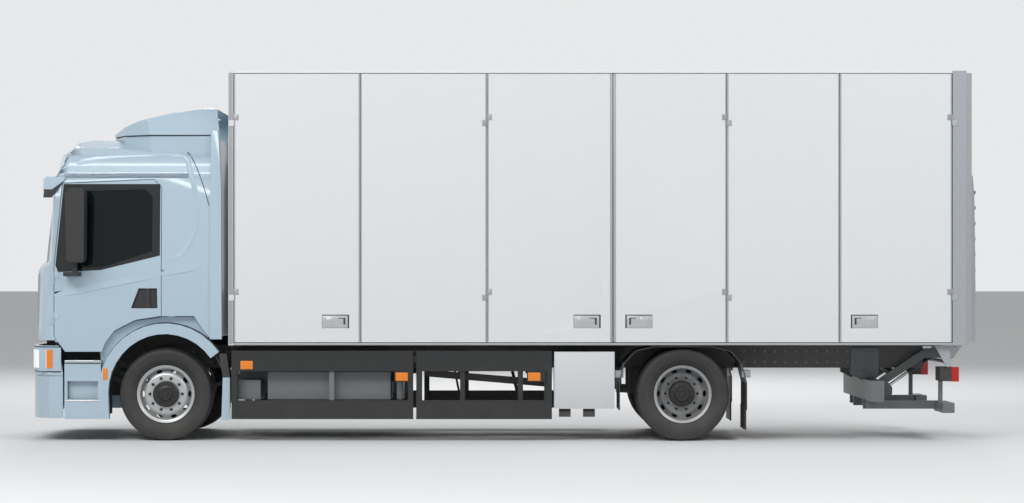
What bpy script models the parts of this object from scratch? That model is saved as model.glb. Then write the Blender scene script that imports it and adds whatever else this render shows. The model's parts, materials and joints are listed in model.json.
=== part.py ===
"""Battery electric truck, two axles: day cab that tilts, box body whose sides fold away in leaves, tail lift.

Metres, +Z up. The front looks towards -X and the left side towards -Y. Lengths along X are measured
rearwards from the front axle. The object's origin is on the ground, below the middle of its outer box.
"""

import math

import bmesh
import bpy
from mathutils import Matrix, Vector

# Seats and running clearances
SEAT = 0.0003
RUN = 0.006

# Overall
FRONT_X = -1.46
REAR_X = 8.41
BODY_HALF = 1.265
WHEELBASE = 5.35

# Wheels
TYRE_RADIUS = 0.48
TYRE_HALF = 0.15
WHEEL_SIDES = 28
FLANGE_RADIUS = 0.2985
BARREL_RADIUS = 0.281
RIM_HALF = 0.115
FLANGE_WIDTH = 0.0164
FRONT_TYRE_Y = 1.02
REAR_OUTER_Y = 1.085
REAR_INNER_Y = 0.745
KINGPIN_Y = 0.85
SPINDLE_END_Y = 0.995
HUB_END_Y = 0.58

# Chassis
RAIL_OUT_Y = 0.43
STRINGER_IN_Y = 0.385
RAIL_FLANGE = 0.075
RAIL_WEB = 0.012
RAIL_LOW = 0.731
RAIL_TOP = 0.958
RAIL_FRONT = -1.36
RAIL_REAR = 7.95
CROSS_MEMBERS = (-1.20, -0.30, 1.20, 2.60, 4.10, 4.90, 5.75, 6.60, 7.60)
SPRING_Y = 0.39

# Cab
CAB_HALF = 1.22
CAB_REAR = 0.466
CAB_WALL = 0.06
CAB_LOW = 1.04
CAB_ARCH_TOP = 1.29
CAB_TOP = 3.16
CAB_FRONT = -1.42
CAB_CORNER = 0.27
TILT_X = -1.38
TILT_Z = 0.78
DOOR_FRONT = -1.141
DOOR_REAR = -0.039
DOOR_LOW = 0.922
DOOR_TOP = 2.70
GLASS = 0.008
GLASS_DEPTH = 0.012
LID_LOW = 1.055
LID_TOP = 1.70
LID_HALF = 1.02
LID_THICK = 0.025
NOSE_BACK = -1.12
NOSE_FLOOR = 0.95

# Front fittings carried by the chassis
BUMPER_LOW = 0.237
BUMPER_TOP = 0.985
BUMPER_HALF = 1.235
BUMPER_CORNER = 0.42
BUMPER_WALL = 0.035
STEP_FRONT = -1.035
STEP_LOW = 0.227
STEP_TOP = 0.834
ARCH_CENTRE_Z = 0.50
ARCH_IN = (0.585, 0.605)
ARCH_OUT = (0.69, 0.715)
LINER = (0.645, 0.665)

# Box body
BOX_FRONT = 0.661
POST_FRONT = 0.052
POST_REAR = 0.144
FRAME_REAR = 8.273
SILL_LOW = 0.989
ROOF_TOP = 3.82
EDGE = 0.026
FLOOR_TOP = SILL_LOW + EDGE
ROOF_LOW = 3.745
ROOF_FLAT_HALF = 0.72
LEAF_THICK = 0.04
LEAF_PIN = 0.006
LEAF_GAP = 0.008
LEAF_MEET = 0.034
LEAF_SHARE = (1.308, 1.308, 1.298, 1.174, 1.164, 1.164)
REAR_DOOR_THICK = 0.05

# Side fittings below the box
SKIRT_FRONT = 0.692
SKIRT_REAR = 3.998
SKIRT_TOP = 0.932
SKIRT_LOW = 0.227
SKIRT_WINDOW_LOW = 0.422
SKIRT_WINDOW_TOP = 0.721
SKIRT_OUT = 1.25
SKIRT_THICK = 0.03
CABINET = (4.022, 4.644, 0.334, 0.922)

# Tail lift
LIFT_X = 7.50
LIFT_Z = 0.565
PIN_X = 8.22
PIN_Z = 0.879
ARM_Y = 0.50
ARM_HALF = 0.025
TUBE_X = 8.016
TUBE_Z = 0.834
ROD_X = 7.573
ROD_Z = 0.515
CYLINDER_Y = 0.32
PLATFORM_FRONT = 8.3333
PLATFORM_LOW = 1.03
PLATFORM_TOP = 2.74
PLATFORM_HALF = 1.20

REAR_AXLE = WHEELBASE
AXLE_Z = TYRE_RADIUS
ORIGIN = Vector((-(FRONT_X + REAR_X) / 2, 0, 0))
LEFT, RIGHT = -1, 1
SIDES = {"left": LEFT, "right": RIGHT}


for thing in list(bpy.data.objects):
    bpy.data.objects.remove(thing)


def material(name, colour, roughness, metallic=0.0):
    made = bpy.data.materials.new(name)
    made.use_nodes = True
    shader = made.node_tree.nodes["Principled BSDF"]
    shader.inputs["Base Color"].default_value = (*colour, 1.0)
    shader.inputs["Roughness"].default_value = roughness
    shader.inputs["Metallic"].default_value = metallic
    return made


CAB_PAINT = material("cab_paint", (0.52, 0.63, 0.72), 0.30)
PANEL_WHITE = material("panel_white", (0.80, 0.81, 0.82), 0.35)
ALUMINIUM = material("aluminium", (0.62, 0.64, 0.68), 0.35, 0.9)
CHASSIS_GREY = material("chassis_grey", (0.16, 0.17, 0.18), 0.55)
BLACK_PLASTIC = material("black_plastic", (0.025, 0.027, 0.03), 0.50)
LIFT_GREY = material("lift_grey", (0.38, 0.40, 0.41), 0.45)
TYRE_RUBBER = material("tyre_rubber", (0.035, 0.035, 0.037), 0.80)
RIM_SILVER = material("rim_silver", (0.58, 0.60, 0.62), 0.35, 0.8)
RIM_GREY = material("rim_grey", (0.36, 0.37, 0.39), 0.45, 0.6)
GLASS_DARK = material("glass_dark", (0.03, 0.04, 0.045), 0.05)
CASE_GREY = material("case_grey", (0.25, 0.26, 0.27), 0.50)
TRIM_GREY = material("trim_grey", (0.10, 0.10, 0.11), 0.70)
CHROME = material("chrome", (0.80, 0.80, 0.80), 0.12, 1.0)


def form(mesh_edit):
    """A closed form as an object of the scene, with its faces pointing out."""
    bmesh.ops.recalc_face_normals(mesh_edit, faces=mesh_edit.faces)
    mesh = bpy.data.meshes.new("form")
    mesh_edit.to_mesh(mesh)
    mesh_edit.free()
    made = bpy.data.objects.new("form", mesh)
    bpy.context.collection.objects.link(made)
    return made


def prism(outline, along, low, high):
    """The outline pushed along an axis. It is (y, z) along X, (x, z) along Y and (x, y) along Z."""
    place = {
        "X": lambda u, v, w: (w, u, v),
        "Y": lambda u, v, w: (u, w, v),
        "Z": lambda u, v, w: (u, v, w),
    }[along]
    edit = bmesh.new()
    ends = [[edit.verts.new(place(u, v, w)) for u, v in outline] for w in (low, high)]
    edit.faces.new(ends[0])
    edit.faces.new(ends[1])
    for i in range(len(outline)):
        edit.faces.new((ends[0][i - 1], ends[0][i], ends[1][i], ends[1][i - 1]))
    return form(edit)


def rectangle(u0, u1, v0, v1):
    return [(u0, v0), (u1, v0), (u1, v1), (u0, v1)]


def block(x0, x1, y0, y1, z0, z1):
    return prism(rectangle(x0, x1, y0, y1), "Z", z0, z1)


def disc(x, z, radius, y0, y1, sides=16):
    """A short cylinder whose axis lies across the truck."""
    turns = [2 * math.pi * (i + 0.5) / sides for i in range(sides)]
    return prism([(x + radius * math.cos(t), z + radius * math.sin(t)) for t in turns], "Y", y0, y1)


def post(x, y, radius, z0, z1, sides=16):
    turns = [2 * math.pi * (i + 0.5) / sides for i in range(sides)]
    return prism([(x + radius * math.cos(t), y + radius * math.sin(t)) for t in turns], "Z", z0, z1)


def rod(start, end, radius, sides=12):
    start, end = Vector(start), Vector(end)
    edit = bmesh.new()
    turn = (end - start).to_track_quat("Z", "Y").to_matrix().to_4x4()
    bmesh.ops.create_cone(
        edit, cap_ends=True, segments=sides, radius1=radius, radius2=radius,
        depth=(end - start).length, matrix=Matrix.Translation((start + end) / 2) @ turn,
    )
    return form(edit)


def strut(start, end, width, y0, y1):
    """A flat bar between two points (x, z) of the side view."""
    along = (Vector(end) - Vector(start)).normalized()
    across = Vector((-along.y, along.x)) * width / 2
    corners = [Vector(start) - across, Vector(end) - across, Vector(end) + across, Vector(start) + across]
    return prism([tuple(c) for c in corners], "Y", y0, y1)


def ribbon(path, thick):
    """The closed outline of a strip that lies on the left of a path."""
    points = [Vector(p) for p in path]
    offset = []
    for i, here in enumerate(points):
        before = points[max(i - 1, 0)]
        after = points[min(i + 1, len(points) - 1)]
        along = (after - before).normalized()
        offset.append(here + Vector((-along.y, along.x)) * thick)
    return [tuple(p) for p in points + offset[::-1]]


def inset(outline, depth):
    """A closed outline moved inwards by a depth, corner by corner."""
    points = [Vector(p) for p in outline]
    area = sum(a.x * b.y - a.y * b.x for a, b in zip(points, points[1:] + points[:1]))
    turn = depth if area > 0 else -depth
    moved = []
    for i, here in enumerate(points):
        first = (here - points[i - 1]).normalized()
        second = (points[(i + 1) % len(points)] - here).normalized()
        n1 = Vector((-first.y, first.x))
        n2 = Vector((-second.y, second.x))
        moved.append(tuple(here + (n1 + n2) * turn / (1 + n1.dot(n2))))
    return moved


def lathe(profile, x, z, side, sides):
    """Turned about an axle at x, z: the profile is (radius, distance from the middle plane), in a loop."""
    edit = bmesh.new()
    rings = []
    for radius, out in profile:
        count = sides if radius > 0 else 1
        turns = [2 * math.pi * i / sides for i in range(count)]
        rings.append([
            edit.verts.new((x + radius * math.cos(t), side * out, z + radius * math.sin(t))) for t in turns
        ])
    for k in range(len(rings)):
        a, b = rings[k - 1], rings[k]
        if len(a) == 1 and len(b) == 1:
            continue
        for i in range(sides):
            j = (i + 1) % sides
            corners = [a[i % len(a)], a[j % len(a)], b[j % len(b)], b[i % len(b)]]
            edit.faces.new(list(dict.fromkeys(corners)))
    return form(edit)


def arc(centre, radii, start, end, steps):
    """Points of an ellipse's arc, in degrees from +X."""
    turns = [math.radians(start + (end - start) * i / steps) for i in range(steps + 1)]
    return [(centre[0] + radii[0] * math.cos(t), centre[1] + radii[1] * math.sin(t)) for t in turns]


def worked(first, others, operation):
    for other in others:
        step = first.modifiers.new(operation, "BOOLEAN")
        step.operation = operation
        step.solver = "EXACT"
        step.object = other
        other.hide_render = True
        other.display_type = "WIRE"
    bpy.context.view_layer.update()
    seen = first.evaluated_get(bpy.context.evaluated_depsgraph_get())
    mesh = bpy.data.meshes.new_from_object(seen)
    first.modifiers.clear()
    first.data = mesh
    for other in others:
        bpy.data.objects.remove(other)
    return first


def fused(first, *others):
    return worked(first, others, "UNION")


def cut(first, *others):
    return worked(first, others, "DIFFERENCE")


def common(first, *others):
    return worked(first, others, "INTERSECT")


def axis(name, x, y, z, parent=None):
    """An empty on a joint's axis, which carries what turns about it."""
    made = bpy.data.objects.new(name, None)
    made.empty_display_size = 0.2
    bpy.context.collection.objects.link(made)
    return hung(made, (x, y, z), parent)


def hung(thing, place, parent):
    thing.location = Vector(place) + ORIGIN
    if parent:
        bpy.context.view_layer.update()
        thing.parent = parent
        thing.matrix_parent_inverse = parent.matrix_world.inverted()
    return thing


def part(name, made, look, parent=None, place=(0, 0, 0)):
    """Names a finished form and puts its origin at a place, such as on its joint's axis."""
    edit = bmesh.new()
    edit.from_mesh(made.data)
    bmesh.ops.remove_doubles(edit, verts=edit.verts, dist=0.000001)
    bmesh.ops.translate(edit, vec=-Vector(place), verts=edit.verts)
    edit.to_mesh(made.data)
    edit.free()
    made.data.materials.clear()
    made.data.materials.append(look)
    made.data.shade_smooth()
    made.data.set_sharp_from_angle(angle=math.radians(30))
    made.data.name = name
    made.name = name
    return hung(made, place, parent)


# Chassis: two channel rails, cross members, cab mounts and a portal behind the seats
def chassis_frame():
    pieces = []
    for side in (LEFT, RIGHT):
        web = RAIL_OUT_Y - RAIL_WEB
        lip = RAIL_OUT_Y - RAIL_FLANGE
        channel = [
            (RAIL_OUT_Y, RAIL_LOW), (RAIL_OUT_Y, RAIL_TOP), (lip, RAIL_TOP), (lip, RAIL_TOP - RAIL_WEB),
            (web, RAIL_TOP - RAIL_WEB), (web, RAIL_LOW + RAIL_WEB), (lip, RAIL_LOW + RAIL_WEB), (lip, RAIL_LOW),
        ]
        pieces.append(prism([(side * y, z) for y, z in channel], "X", RAIL_FRONT, RAIL_REAR))
        mount = rectangle(RAIL_FRONT + 0.005, RAIL_FRONT + 0.08, RAIL_TOP - 0.01, CAB_LOW - SEAT)
        pieces.append(prism(mount, "Y", side * 0.36, side * 0.44))
        pieces.append(block(0.18, 0.26, side * 0.36, side * 0.42, RAIL_TOP - 0.01, CAB_ARCH_TOP - SEAT))
    for x in CROSS_MEMBERS:
        pieces.append(block(x, x + 0.08, -RAIL_OUT_Y + 0.004, RAIL_OUT_Y - 0.004, RAIL_LOW + 0.04, RAIL_TOP - 0.04))
    pieces.append(block(0.185, 0.255, -0.38, 0.38, CAB_ARCH_TOP - 0.09, CAB_ARCH_TOP - 0.02))
    return fused(*pieces)


def front_axle():
    beam = [
        (-0.80, 0.435), (-0.66, 0.415), (-0.56, 0.355), (0.56, 0.355), (0.66, 0.415), (0.80, 0.435),
        (0.80, 0.54), (0.64, 0.525), (0.53, 0.455), (-0.53, 0.455), (-0.64, 0.525), (-0.80, 0.54),
    ]
    pieces = [prism(beam, "X", -0.05, 0.05)]
    low = [(0.75 * k / 4, 0.45 + 0.20 * (k / 4) ** 2) for k in range(-4, 5)]
    for side in (LEFT, RIGHT):
        pieces.append(post(0, side * KINGPIN_Y, 0.062, 0.432, 0.543))
        pieces.append(prism(ribbon(low, 0.045), "Y", side * (SPRING_Y - 0.035), side * (SPRING_Y + 0.035)))
        for x in (-0.74, 0.70):
            pieces.append(block(x, x + 0.04, side * (SPRING_Y - 0.03), side * (SPRING_Y + 0.03), 0.66, RAIL_LOW - SEAT))
    return fused(*pieces)


def rear_axle():
    x = REAR_AXLE
    pieces = [
        rod((x, -HUB_END_Y + 0.02, AXLE_Z), (x, HUB_END_Y - 0.02, AXLE_Z), 0.085, 16),
        prism([(x - 0.30, 0.36), (x - 0.22, 0.27), (x + 0.14, 0.27), (x + 0.22, 0.36), (x + 0.22, 0.60),
               (x + 0.10, 0.68), (x - 0.24, 0.68), (x - 0.30, 0.60)], "Y", -0.24, 0.24),
    ]
    for side in (LEFT, RIGHT):
        pieces.append(disc(x, AXLE_Z, 0.165, side * 0.50, side * (HUB_END_Y - SEAT), 20))
        pieces.append(strut((x - 0.62, 0.50), (x + 0.50, 0.44), 0.06, side * 0.37, side * 0.45))
        pieces.append(block(x - 0.66, x - 0.60, side * 0.37, side * 0.425, 0.47, RAIL_LOW - SEAT))
        for bag in (x - 0.42, x + 0.42):
            pieces.append(post(bag, side * 0.41, 0.105, 0.46, RAIL_LOW - SEAT))
    return fused(*pieces)


# The knuckle's fork holds the beam's eye, and its stub carries the front wheel
def knuckle(side):
    pieces = [
        post(0, side * KINGPIN_Y, 0.065, 0.546, 0.60),
        post(0, side * KINGPIN_Y, 0.065, 0.36, 0.429),
        block(-0.055, 0.055, side * 0.925, side * 0.962, 0.37, 0.595),
        block(-0.045, 0.045, side * KINGPIN_Y, side * 0.94, 0.55, 0.59),
        block(-0.045, 0.045, side * KINGPIN_Y, side * 0.94, 0.37, 0.42),
        disc(0, AXLE_Z, 0.05, side * 0.95, side * (SPINDLE_END_Y - SEAT)),
        prism([(0.0, side * 0.80), (0.0, side * 0.86), (0.20, side * 0.83), (0.20, side * 0.79)], "Z", 0.375, 0.405),
    ]
    return fused(*pieces)


def bead(out, way):
    """The two corners of a rim's flange; way is +1 on its outer side."""
    return [
        (BARREL_RADIUS, out - way * FLANGE_WIDTH), (FLANGE_RADIUS, out - way * FLANGE_WIDTH),
        (FLANGE_RADIUS, out), (BARREL_RADIUS - 0.012, out),
    ][::way]


def front_rim(side):
    middle = FRONT_TYRE_Y
    profile = [
        (0, middle + 0.145), (0.070, middle + 0.145), (0.088, middle + 0.125), (0.095, middle + 0.085),
        (0.200, middle + 0.085), (0.250, middle + 0.030), (BARREL_RADIUS - 0.016, middle + 0.030),
    ]
    profile += bead(middle + RIM_HALF, 1)[::-1]
    profile += bead(middle - RIM_HALF, -1)[::-1]
    profile += [(BARREL_RADIUS - 0.016, middle), (0.19, middle + 0.02), (0.17, SPINDLE_END_Y), (0, SPINDLE_END_Y)]
    return lathe(profile, 0, AXLE_Z, side, WHEEL_SIDES)


def rear_rims(side):
    outer, inner = REAR_OUTER_Y, REAR_INNER_Y
    seat = (outer + inner) / 2
    profile = [
        (0, outer + 0.06), (0.085, outer + 0.06), (0.105, outer + 0.03), (0.115, seat + 0.03),
        (0.205, seat + 0.03), (0.245, seat + 0.045), (BARREL_RADIUS - 0.016, seat + 0.11),
    ]
    profile += bead(outer + RIM_HALF, 1)[::-1]
    profile += bead(outer - RIM_HALF, -1)[::-1]
    profile += [(0.245, seat + 0.02), (0.245, seat - 0.02)]
    profile += bead(inner + RIM_HALF, 1)[::-1]
    profile += bead(inner - RIM_HALF, -1)[::-1]
    profile += [(BARREL_RADIUS - 0.016, seat - 0.12), (0.20, seat - 0.06), (0.17, HUB_END_Y), (0, HUB_END_Y)]
    return lathe(profile, REAR_AXLE, AXLE_Z, side, WHEEL_SIDES)


def tyre(x, middle, side):
    seat = BARREL_RADIUS + 0.0006
    lip = FLANGE_RADIUS + 0.0006
    inner = RIM_HALF - FLANGE_WIDTH - 0.0006
    half = [
        (seat, inner), (lip, inner), (0.33, 0.136), (0.39, TYRE_HALF), (0.448, 0.144), (TYRE_RADIUS, 0.112),
    ]
    profile = [(r, middle + t) for r, t in half] + [(r, middle - t) for r, t in half[::-1]]
    return lathe(profile, x, AXLE_Z, side, WHEEL_SIDES)


# Battery cases hang outboard of the rails on arms: each case is (front, rear, low, top)
def batteries(side):
    cases = ((0.692, 0.981, 0.422, 0.63), (1.053, 2.330, 0.422, 0.715), (2.392, 2.454, 0.422, 0.69))
    pieces = [block(x0, x1, side * 0.60, side * 1.12, low, top) for x0, x1, low, top in cases]
    pieces.append(block(0.72, 2.44, side * 0.70, side * 0.76, 0.60, 0.755))
    for x in (0.80, 1.45, 2.05):
        pieces.append(block(x, x + 0.07, side * (RAIL_OUT_Y + SEAT), side * 0.75, 0.735, 0.795))
    return fused(*pieces)


def side_skirt(side, rear):
    """Two framed panels on one stringer, each with a long window."""
    inside = SKIRT_OUT - SKIRT_THICK
    split = (2.567, 2.598)
    whole = prism(rectangle(SKIRT_FRONT, rear, SKIRT_LOW, SKIRT_TOP), "Y", side * inside, side * SKIRT_OUT)
    openings = []
    for x0, x1 in ((SKIRT_FRONT, split[0]), (split[1], rear)):
        window = rectangle(x0 + 0.055, x1 - 0.055, SKIRT_WINDOW_LOW, SKIRT_WINDOW_TOP)
        openings.append(prism(window, "Y", side * (inside - 0.1), side * (SKIRT_OUT + 0.1)))
    openings.append(block(split[0], split[1], side * (inside - 0.1), side * (SKIRT_OUT + 0.1), 0, 1.2))
    pieces = [cut(whole, *openings)]
    pieces.append(block(SKIRT_FRONT, rear, side * (inside - 0.03), side * (inside + 0.01), 0.82, 0.88))
    for x in (SKIRT_FRONT + 0.02, 1.70, split[1] + 0.01, rear - 0.08):
        pieces.append(block(x, x + 0.05, side * (RAIL_OUT_Y + SEAT), side * (inside + 0.01), 0.83, 0.87))
        pieces.append(block(x, x + 0.05, side * (inside - 0.03), side * (inside + 0.01), 0.25, 0.85))
    for x in (2.95, 3.55):
        start, end = Vector((x, side * 0.46, 0.85)), Vector((x + 0.12, side * (inside - 0.02), 0.35))
        pieces.append(rod(start, end, 0.012, 8))
        pieces.append(block(x - 0.02, x + 0.03, side * (RAIL_OUT_Y + SEAT), side * (inside + 0.01), 0.83, 0.87))
        pieces.append(block(x + 0.10, x + 0.15, side * (inside - 0.03), side * (inside + 0.01), 0.25, 0.85))
    return fused(*pieces)


def side_cabinet():
    x0, x1, low, top = CABINET
    pieces = [block(x0, x1, LEFT * 0.78, LEFT * SKIRT_OUT, low, top)]
    for x in (x0 + 0.05, x0 + 0.30):
        pieces.append(block(x, x + 0.12, LEFT * 1.10, LEFT * 1.22, 0.25, low + 0.01))
    for x in (x0 + 0.10, x1 - 0.16):
        pieces.append(block(x, x + 0.06, LEFT * (RAIL_OUT_Y + SEAT), LEFT * 0.80, 0.80, 0.86))
    return fused(*pieces)


def rear_mudguard(side):
    x = REAR_AXLE
    half = [(0.650, 0.319), (0.650, 0.60), (0.600, 0.80), (0.485, 0.925), (0.30, 0.968)]
    path = [(x - u, z) for u, z in half] + [(x + u, z) for u, z in half[::-1]]
    pieces = [prism(ribbon(path, 0.012), "Y", side * 0.62, side * 1.245)]
    pieces.append(block(x + 0.643, x + 0.656, side * 0.64, side * 1.22, 0.113, 0.36))
    for way in (-1, 1):
        start, end = x + way * 0.60, x + way * 0.66
        pieces.append(block(start, end, side * (RAIL_OUT_Y + SEAT), side * 0.68, 0.742, 0.783))
        pieces.append(block(x + way * 0.612, x + way * 0.70, side * 0.95, side * 1.235, 0.655, 0.728))
    return fused(*pieces)


def front_plan(half, front, corner, power=2.6, steps=7, rear=None):
    """The rounded nose in plan as (x, y), from the left corner round to the right one."""
    nose = []
    for i in range(-steps, steps + 1):
        turn = math.pi / 2 * abs(i) / steps
        y = half * math.sin(turn) ** (2 / power)
        x = front + corner * (1 - math.cos(turn) ** (2 / power)) if abs(i) < steps else front + corner
        nose.append((x, math.copysign(y, i)))
    if rear is not None:
        nose += [(rear, half), (rear, -half)]
    return nose


# Bumper: a curved wall round the nose, with lamp housings at its ends and an air intake
def front_bumper():
    outer = front_plan(BUMPER_HALF, FRONT_X, BUMPER_CORNER, power=3.0, rear=-0.95)
    whole = prism(outer, "Z", BUMPER_LOW, BUMPER_TOP)
    hollow = prism(inset(outer, BUMPER_WALL), "Z", BUMPER_LOW - 0.1, BUMPER_TOP + 0.1)
    back = block(-1.045, -0.9, -2, 2, 0, 2)
    slope = [prism([(-1.095, BUMPER_TOP + 0.1), (-1.095, BUMPER_TOP - 0.005), (-1.05, 0.70), (-1.05, 0), (-0.9, 0),
                    (-0.9, BUMPER_TOP + 0.1)], "Y", -2, 2)]
    slots = [block(-2, -1.3, -0.52, 0.52, z, z + 0.035) for z in (0.36, 0.42, 0.48)]
    seam = [prism(front_plan(BUMPER_HALF + 0.1, FRONT_X - 0.1, BUMPER_CORNER, power=3.0, rear=-0.95), "Z", 0.668, 0.676)]
    seam[0] = cut(seam[0], prism(inset(outer, 0.008), "Z", 0.5, 0.8))
    wall = cut(whole, hollow, back, *slope, *slots, *seam)
    pieces = [wall]
    for side in (LEFT, RIGHT):
        pieces.append(block(-1.44, RAIL_FRONT - SEAT, side * 0.37, side * 0.43, 0.76, 0.94))
        pieces.append(block(-1.30, -1.10, side * 0.98, side * 1.21, 0.72, 0.955))
    return fused(*pieces)


# The front arch: a wide lip, the liner behind it, the step box ahead of the wheel and a foot behind it
def front_arch(side):
    centre = (0, ARCH_CENTRE_Z)
    band = arc(centre, ARCH_OUT, 180, 36, 14) + arc(centre, ARCH_IN, 36, 180, 14)
    band += [(-ARCH_IN[0] + 0.01, STEP_LOW), (-ARCH_OUT[0] + 0.01, STEP_LOW)]
    lip = prism(band, "Y", side * 1.15, side * CAB_HALF)
    within = (LINER[0] - 0.02, LINER[1] - 0.02)
    shade = arc(centre, LINER, 180, 20, 12) + arc(centre, within, 20, 180, 12)
    shade += [(-within[0], 0.26), (-LINER[0], 0.26)]
    liner = prism(shade, "Y", side * 0.66, side * 1.16)
    panel = prism(rectangle(STEP_FRONT, -0.66, STEP_LOW, STEP_TOP - 0.04), "Y", side * 1.17, side * CAB_HALF)
    recess = rectangle(STEP_FRONT + 0.03, -0.69, 0.402, 0.618)
    panel = cut(panel, prism(recess, "Y", side * 1.0, side * 1.5))
    pieces = [lip, liner, panel]
    for top in (0.432, STEP_TOP):
        pieces.append(block(STEP_FRONT, -0.655, side * 0.93, side * (CAB_HALF - 0.008), top - 0.032, top))
    pieces.append(block(STEP_FRONT, -0.64, side * 0.92, side * 0.95, 0.38, STEP_TOP - 0.004))
    pieces.append(block(STEP_FRONT, STEP_FRONT + 0.02, side * 0.93, side * 1.19, 0.38, STEP_TOP - 0.01))
    pieces.append(block(-0.95, -0.88, side * (RAIL_OUT_Y + SEAT), side * 0.93, 0.77, 0.83))
    foot = [(0.585, 0.216), (0.672, 0.216), (0.672, 0.66), (0.64, 0.90), (0.56, 0.90), (0.60, 0.66)]
    pieces.append(prism(foot, "Y", side * 1.12, side * CAB_HALF))
    pieces.append(block(0.58, 0.63, side * (RAIL_OUT_Y + SEAT), side * 1.15, 0.74, 0.80))
    return fused(*pieces)


def barrel(x, y, way, inward, z0, z1):
    """One half of an upright hinge: a barrel on the axis, and a strap on the face that the axis stands off."""
    strap = block(x, x + way * 0.05, y + inward * 0.002, y + inward * (LEAF_PIN + 0.002), z0, z1)
    return fused(post(x, y, 0.0055, z0, z1, 6), strap)


def hinge(x, y, inward, heights, way, upper=False):
    """A piece's row of barrels. Its strap runs towards way, and the upper row stands on the lower one."""
    lift = 0.06 + SEAT if upper else 0
    return [barrel(x, y, way, inward, z + lift, z + lift + 0.06) for z in heights]


# The cab's form is common to three outlines: from the side, from above and from the front
CAB_SIDE = [
    (-1.39, CAB_LOW), (CAB_FRONT, 1.20), (CAB_FRONT, 1.62), (-1.39, 1.76), (-1.345, 2.52), (-1.32, 2.72),
    (-1.245, 2.98), (-1.08, 3.10), (-0.80, 3.15), (-0.45, CAB_TOP), (CAB_REAR, CAB_TOP), (CAB_REAR, 1.06),
    (0.30, CAB_ARCH_TOP), (0.0, CAB_ARCH_TOP), (-0.30, 1.25), (-0.52, 1.14), (-0.64, CAB_LOW),
]
CAB_PLAN = front_plan(CAB_HALF + 0.015, CAB_FRONT - 0.001, CAB_CORNER, rear=0.7)
half_view = [(CAB_HALF, 0.85), (CAB_HALF, 1.80), (1.17, 2.72), (1.13, 2.95), (1.04, 3.08), (0.84, 3.15), (0.40, 3.18)]
CAB_VIEW = half_view + [(-y, z) for y, z in half_view[::-1]]
DOOR = [
    (DOOR_FRONT, 1.075), (DOOR_FRONT, 1.80), (-1.06, 2.66), (-0.12, DOOR_TOP), (DOOR_REAR, 2.62),
    (DOOR_REAR, 1.292), (-0.30, 1.252), (-0.52, 1.142), (-0.62, 1.01), (-0.65, DOOR_LOW), (-1.028, DOOR_LOW),
]
DOOR_WINDOW = [(-1.00, 1.90), (-0.955, 2.58), (-0.20, 2.60), (-0.13, 2.52), (-0.13, 1.96), (-0.62, 1.80), (-0.93, 1.78)]
SCREEN = [(-1.03, 1.84), (-0.99, 2.60), (0.99, 2.60), (1.03, 1.84)]
LID = [(-LID_HALF, LID_LOW), (-LID_HALF + 0.02, LID_TOP), (LID_HALF - 0.02, LID_TOP), (LID_HALF, LID_LOW)]


def cab_form(depth, floor=None):
    """The cab's outer form, inset by a depth. A floor opens it downwards to that height."""
    side = inset(CAB_SIDE, depth)
    if floor:
        side = [(x, floor if z < CAB_LOW + depth + 0.005 else z) for x, z in side]
    return common(
        prism(side, "Y", -1.5, 1.5),
        prism(inset(CAB_PLAN, depth), "Z", 0.5, 4.0),
        prism(inset(CAB_VIEW, depth), "X", -2.0, 1.0),
    )


def side_skin(outline, outer, inner, side):
    """A slice of the cab's side wall between two depths, inside an outline (x, z)."""
    slab = prism(outline, "Y", side * 0.9, side * 1.4)
    slab = common(slab, prism(inset(CAB_VIEW, outer), "X", -2.0, 1.0))
    return cut(slab, prism(inset(CAB_VIEW, inner), "X", -2.1, 1.1))


def nose_skin(outline, outer, inner):
    """A slice of the cab's front wall between two depths, inside an outline (y, z)."""
    slab = common(prism(outline, "X", -1.9, NOSE_BACK), cab_form(outer))
    return cut(slab, cab_form(inner, NOSE_FLOOR))


HINGE_Y = CAB_HALF + LEAF_PIN
HINGE_X = DOOR_FRONT - RUN / 2
DOOR_HINGES = (1.20, 1.62)


def cab_door(side):
    door = side_skin(DOOR, 0, CAB_WALL, side)
    window = prism(DOOR_WINDOW, "Y", side * 0.8, side * 1.5)
    grip = [(-0.27, 1.576), (-0.08, 1.576), (-0.075, 1.37), (-0.348, 1.37)]
    door = cut(door, window, prism(grip, "Y", side * (CAB_HALF - 0.03), side * 1.5))
    handle = block(-0.20, -0.155, side * (CAB_HALF - 0.035), side * (CAB_HALF - 0.004), 1.36, 1.585)
    return fused(door, handle, *hinge(HINGE_X, side * HINGE_Y, -side, DOOR_HINGES, 1, upper=True))


def door_glass(side):
    return side_skin(inset(DOOR_WINDOW, SEAT), GLASS_DEPTH, GLASS_DEPTH + GLASS, side)


def lid_axis():
    return (CAB_FRONT - 0.008, LID_TOP + RUN / 2)


def lid_barrel(y0, y1, way):
    x, z = lid_axis()
    arm = block(x + 0.002, x + 0.030, y0, y1, z, z + way * 0.035)
    return fused(disc(x, z, 0.0055, y0, y1, 8), arm)


def cab_shell():
    shell = cab_form(0)
    cutters = [cab_form(CAB_WALL)]
    for side in (LEFT, RIGHT):
        cutters.append(side_skin(inset(DOOR, -RUN), -0.05, CAB_WALL + RUN, side))
    cutters.append(prism(SCREEN, "X", -2.0, -1.20))
    pocket = common(prism(inset(LID, -RUN), "X", -1.9, NOSE_BACK + RUN), cab_form(-0.01))
    cutters.append(cut(pocket, cab_form(LID_THICK + RUN, NOSE_FLOOR)))
    shell = cut(shell, *cutters)
    pieces = [lid_barrel(y, y + 0.04, 1) for y in (-0.30, 0.26)]
    for side in (LEFT, RIGHT):
        pieces += hinge(HINGE_X, side * HINGE_Y, -side, DOOR_HINGES, -1)
    return fused(shell, *pieces)


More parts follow.
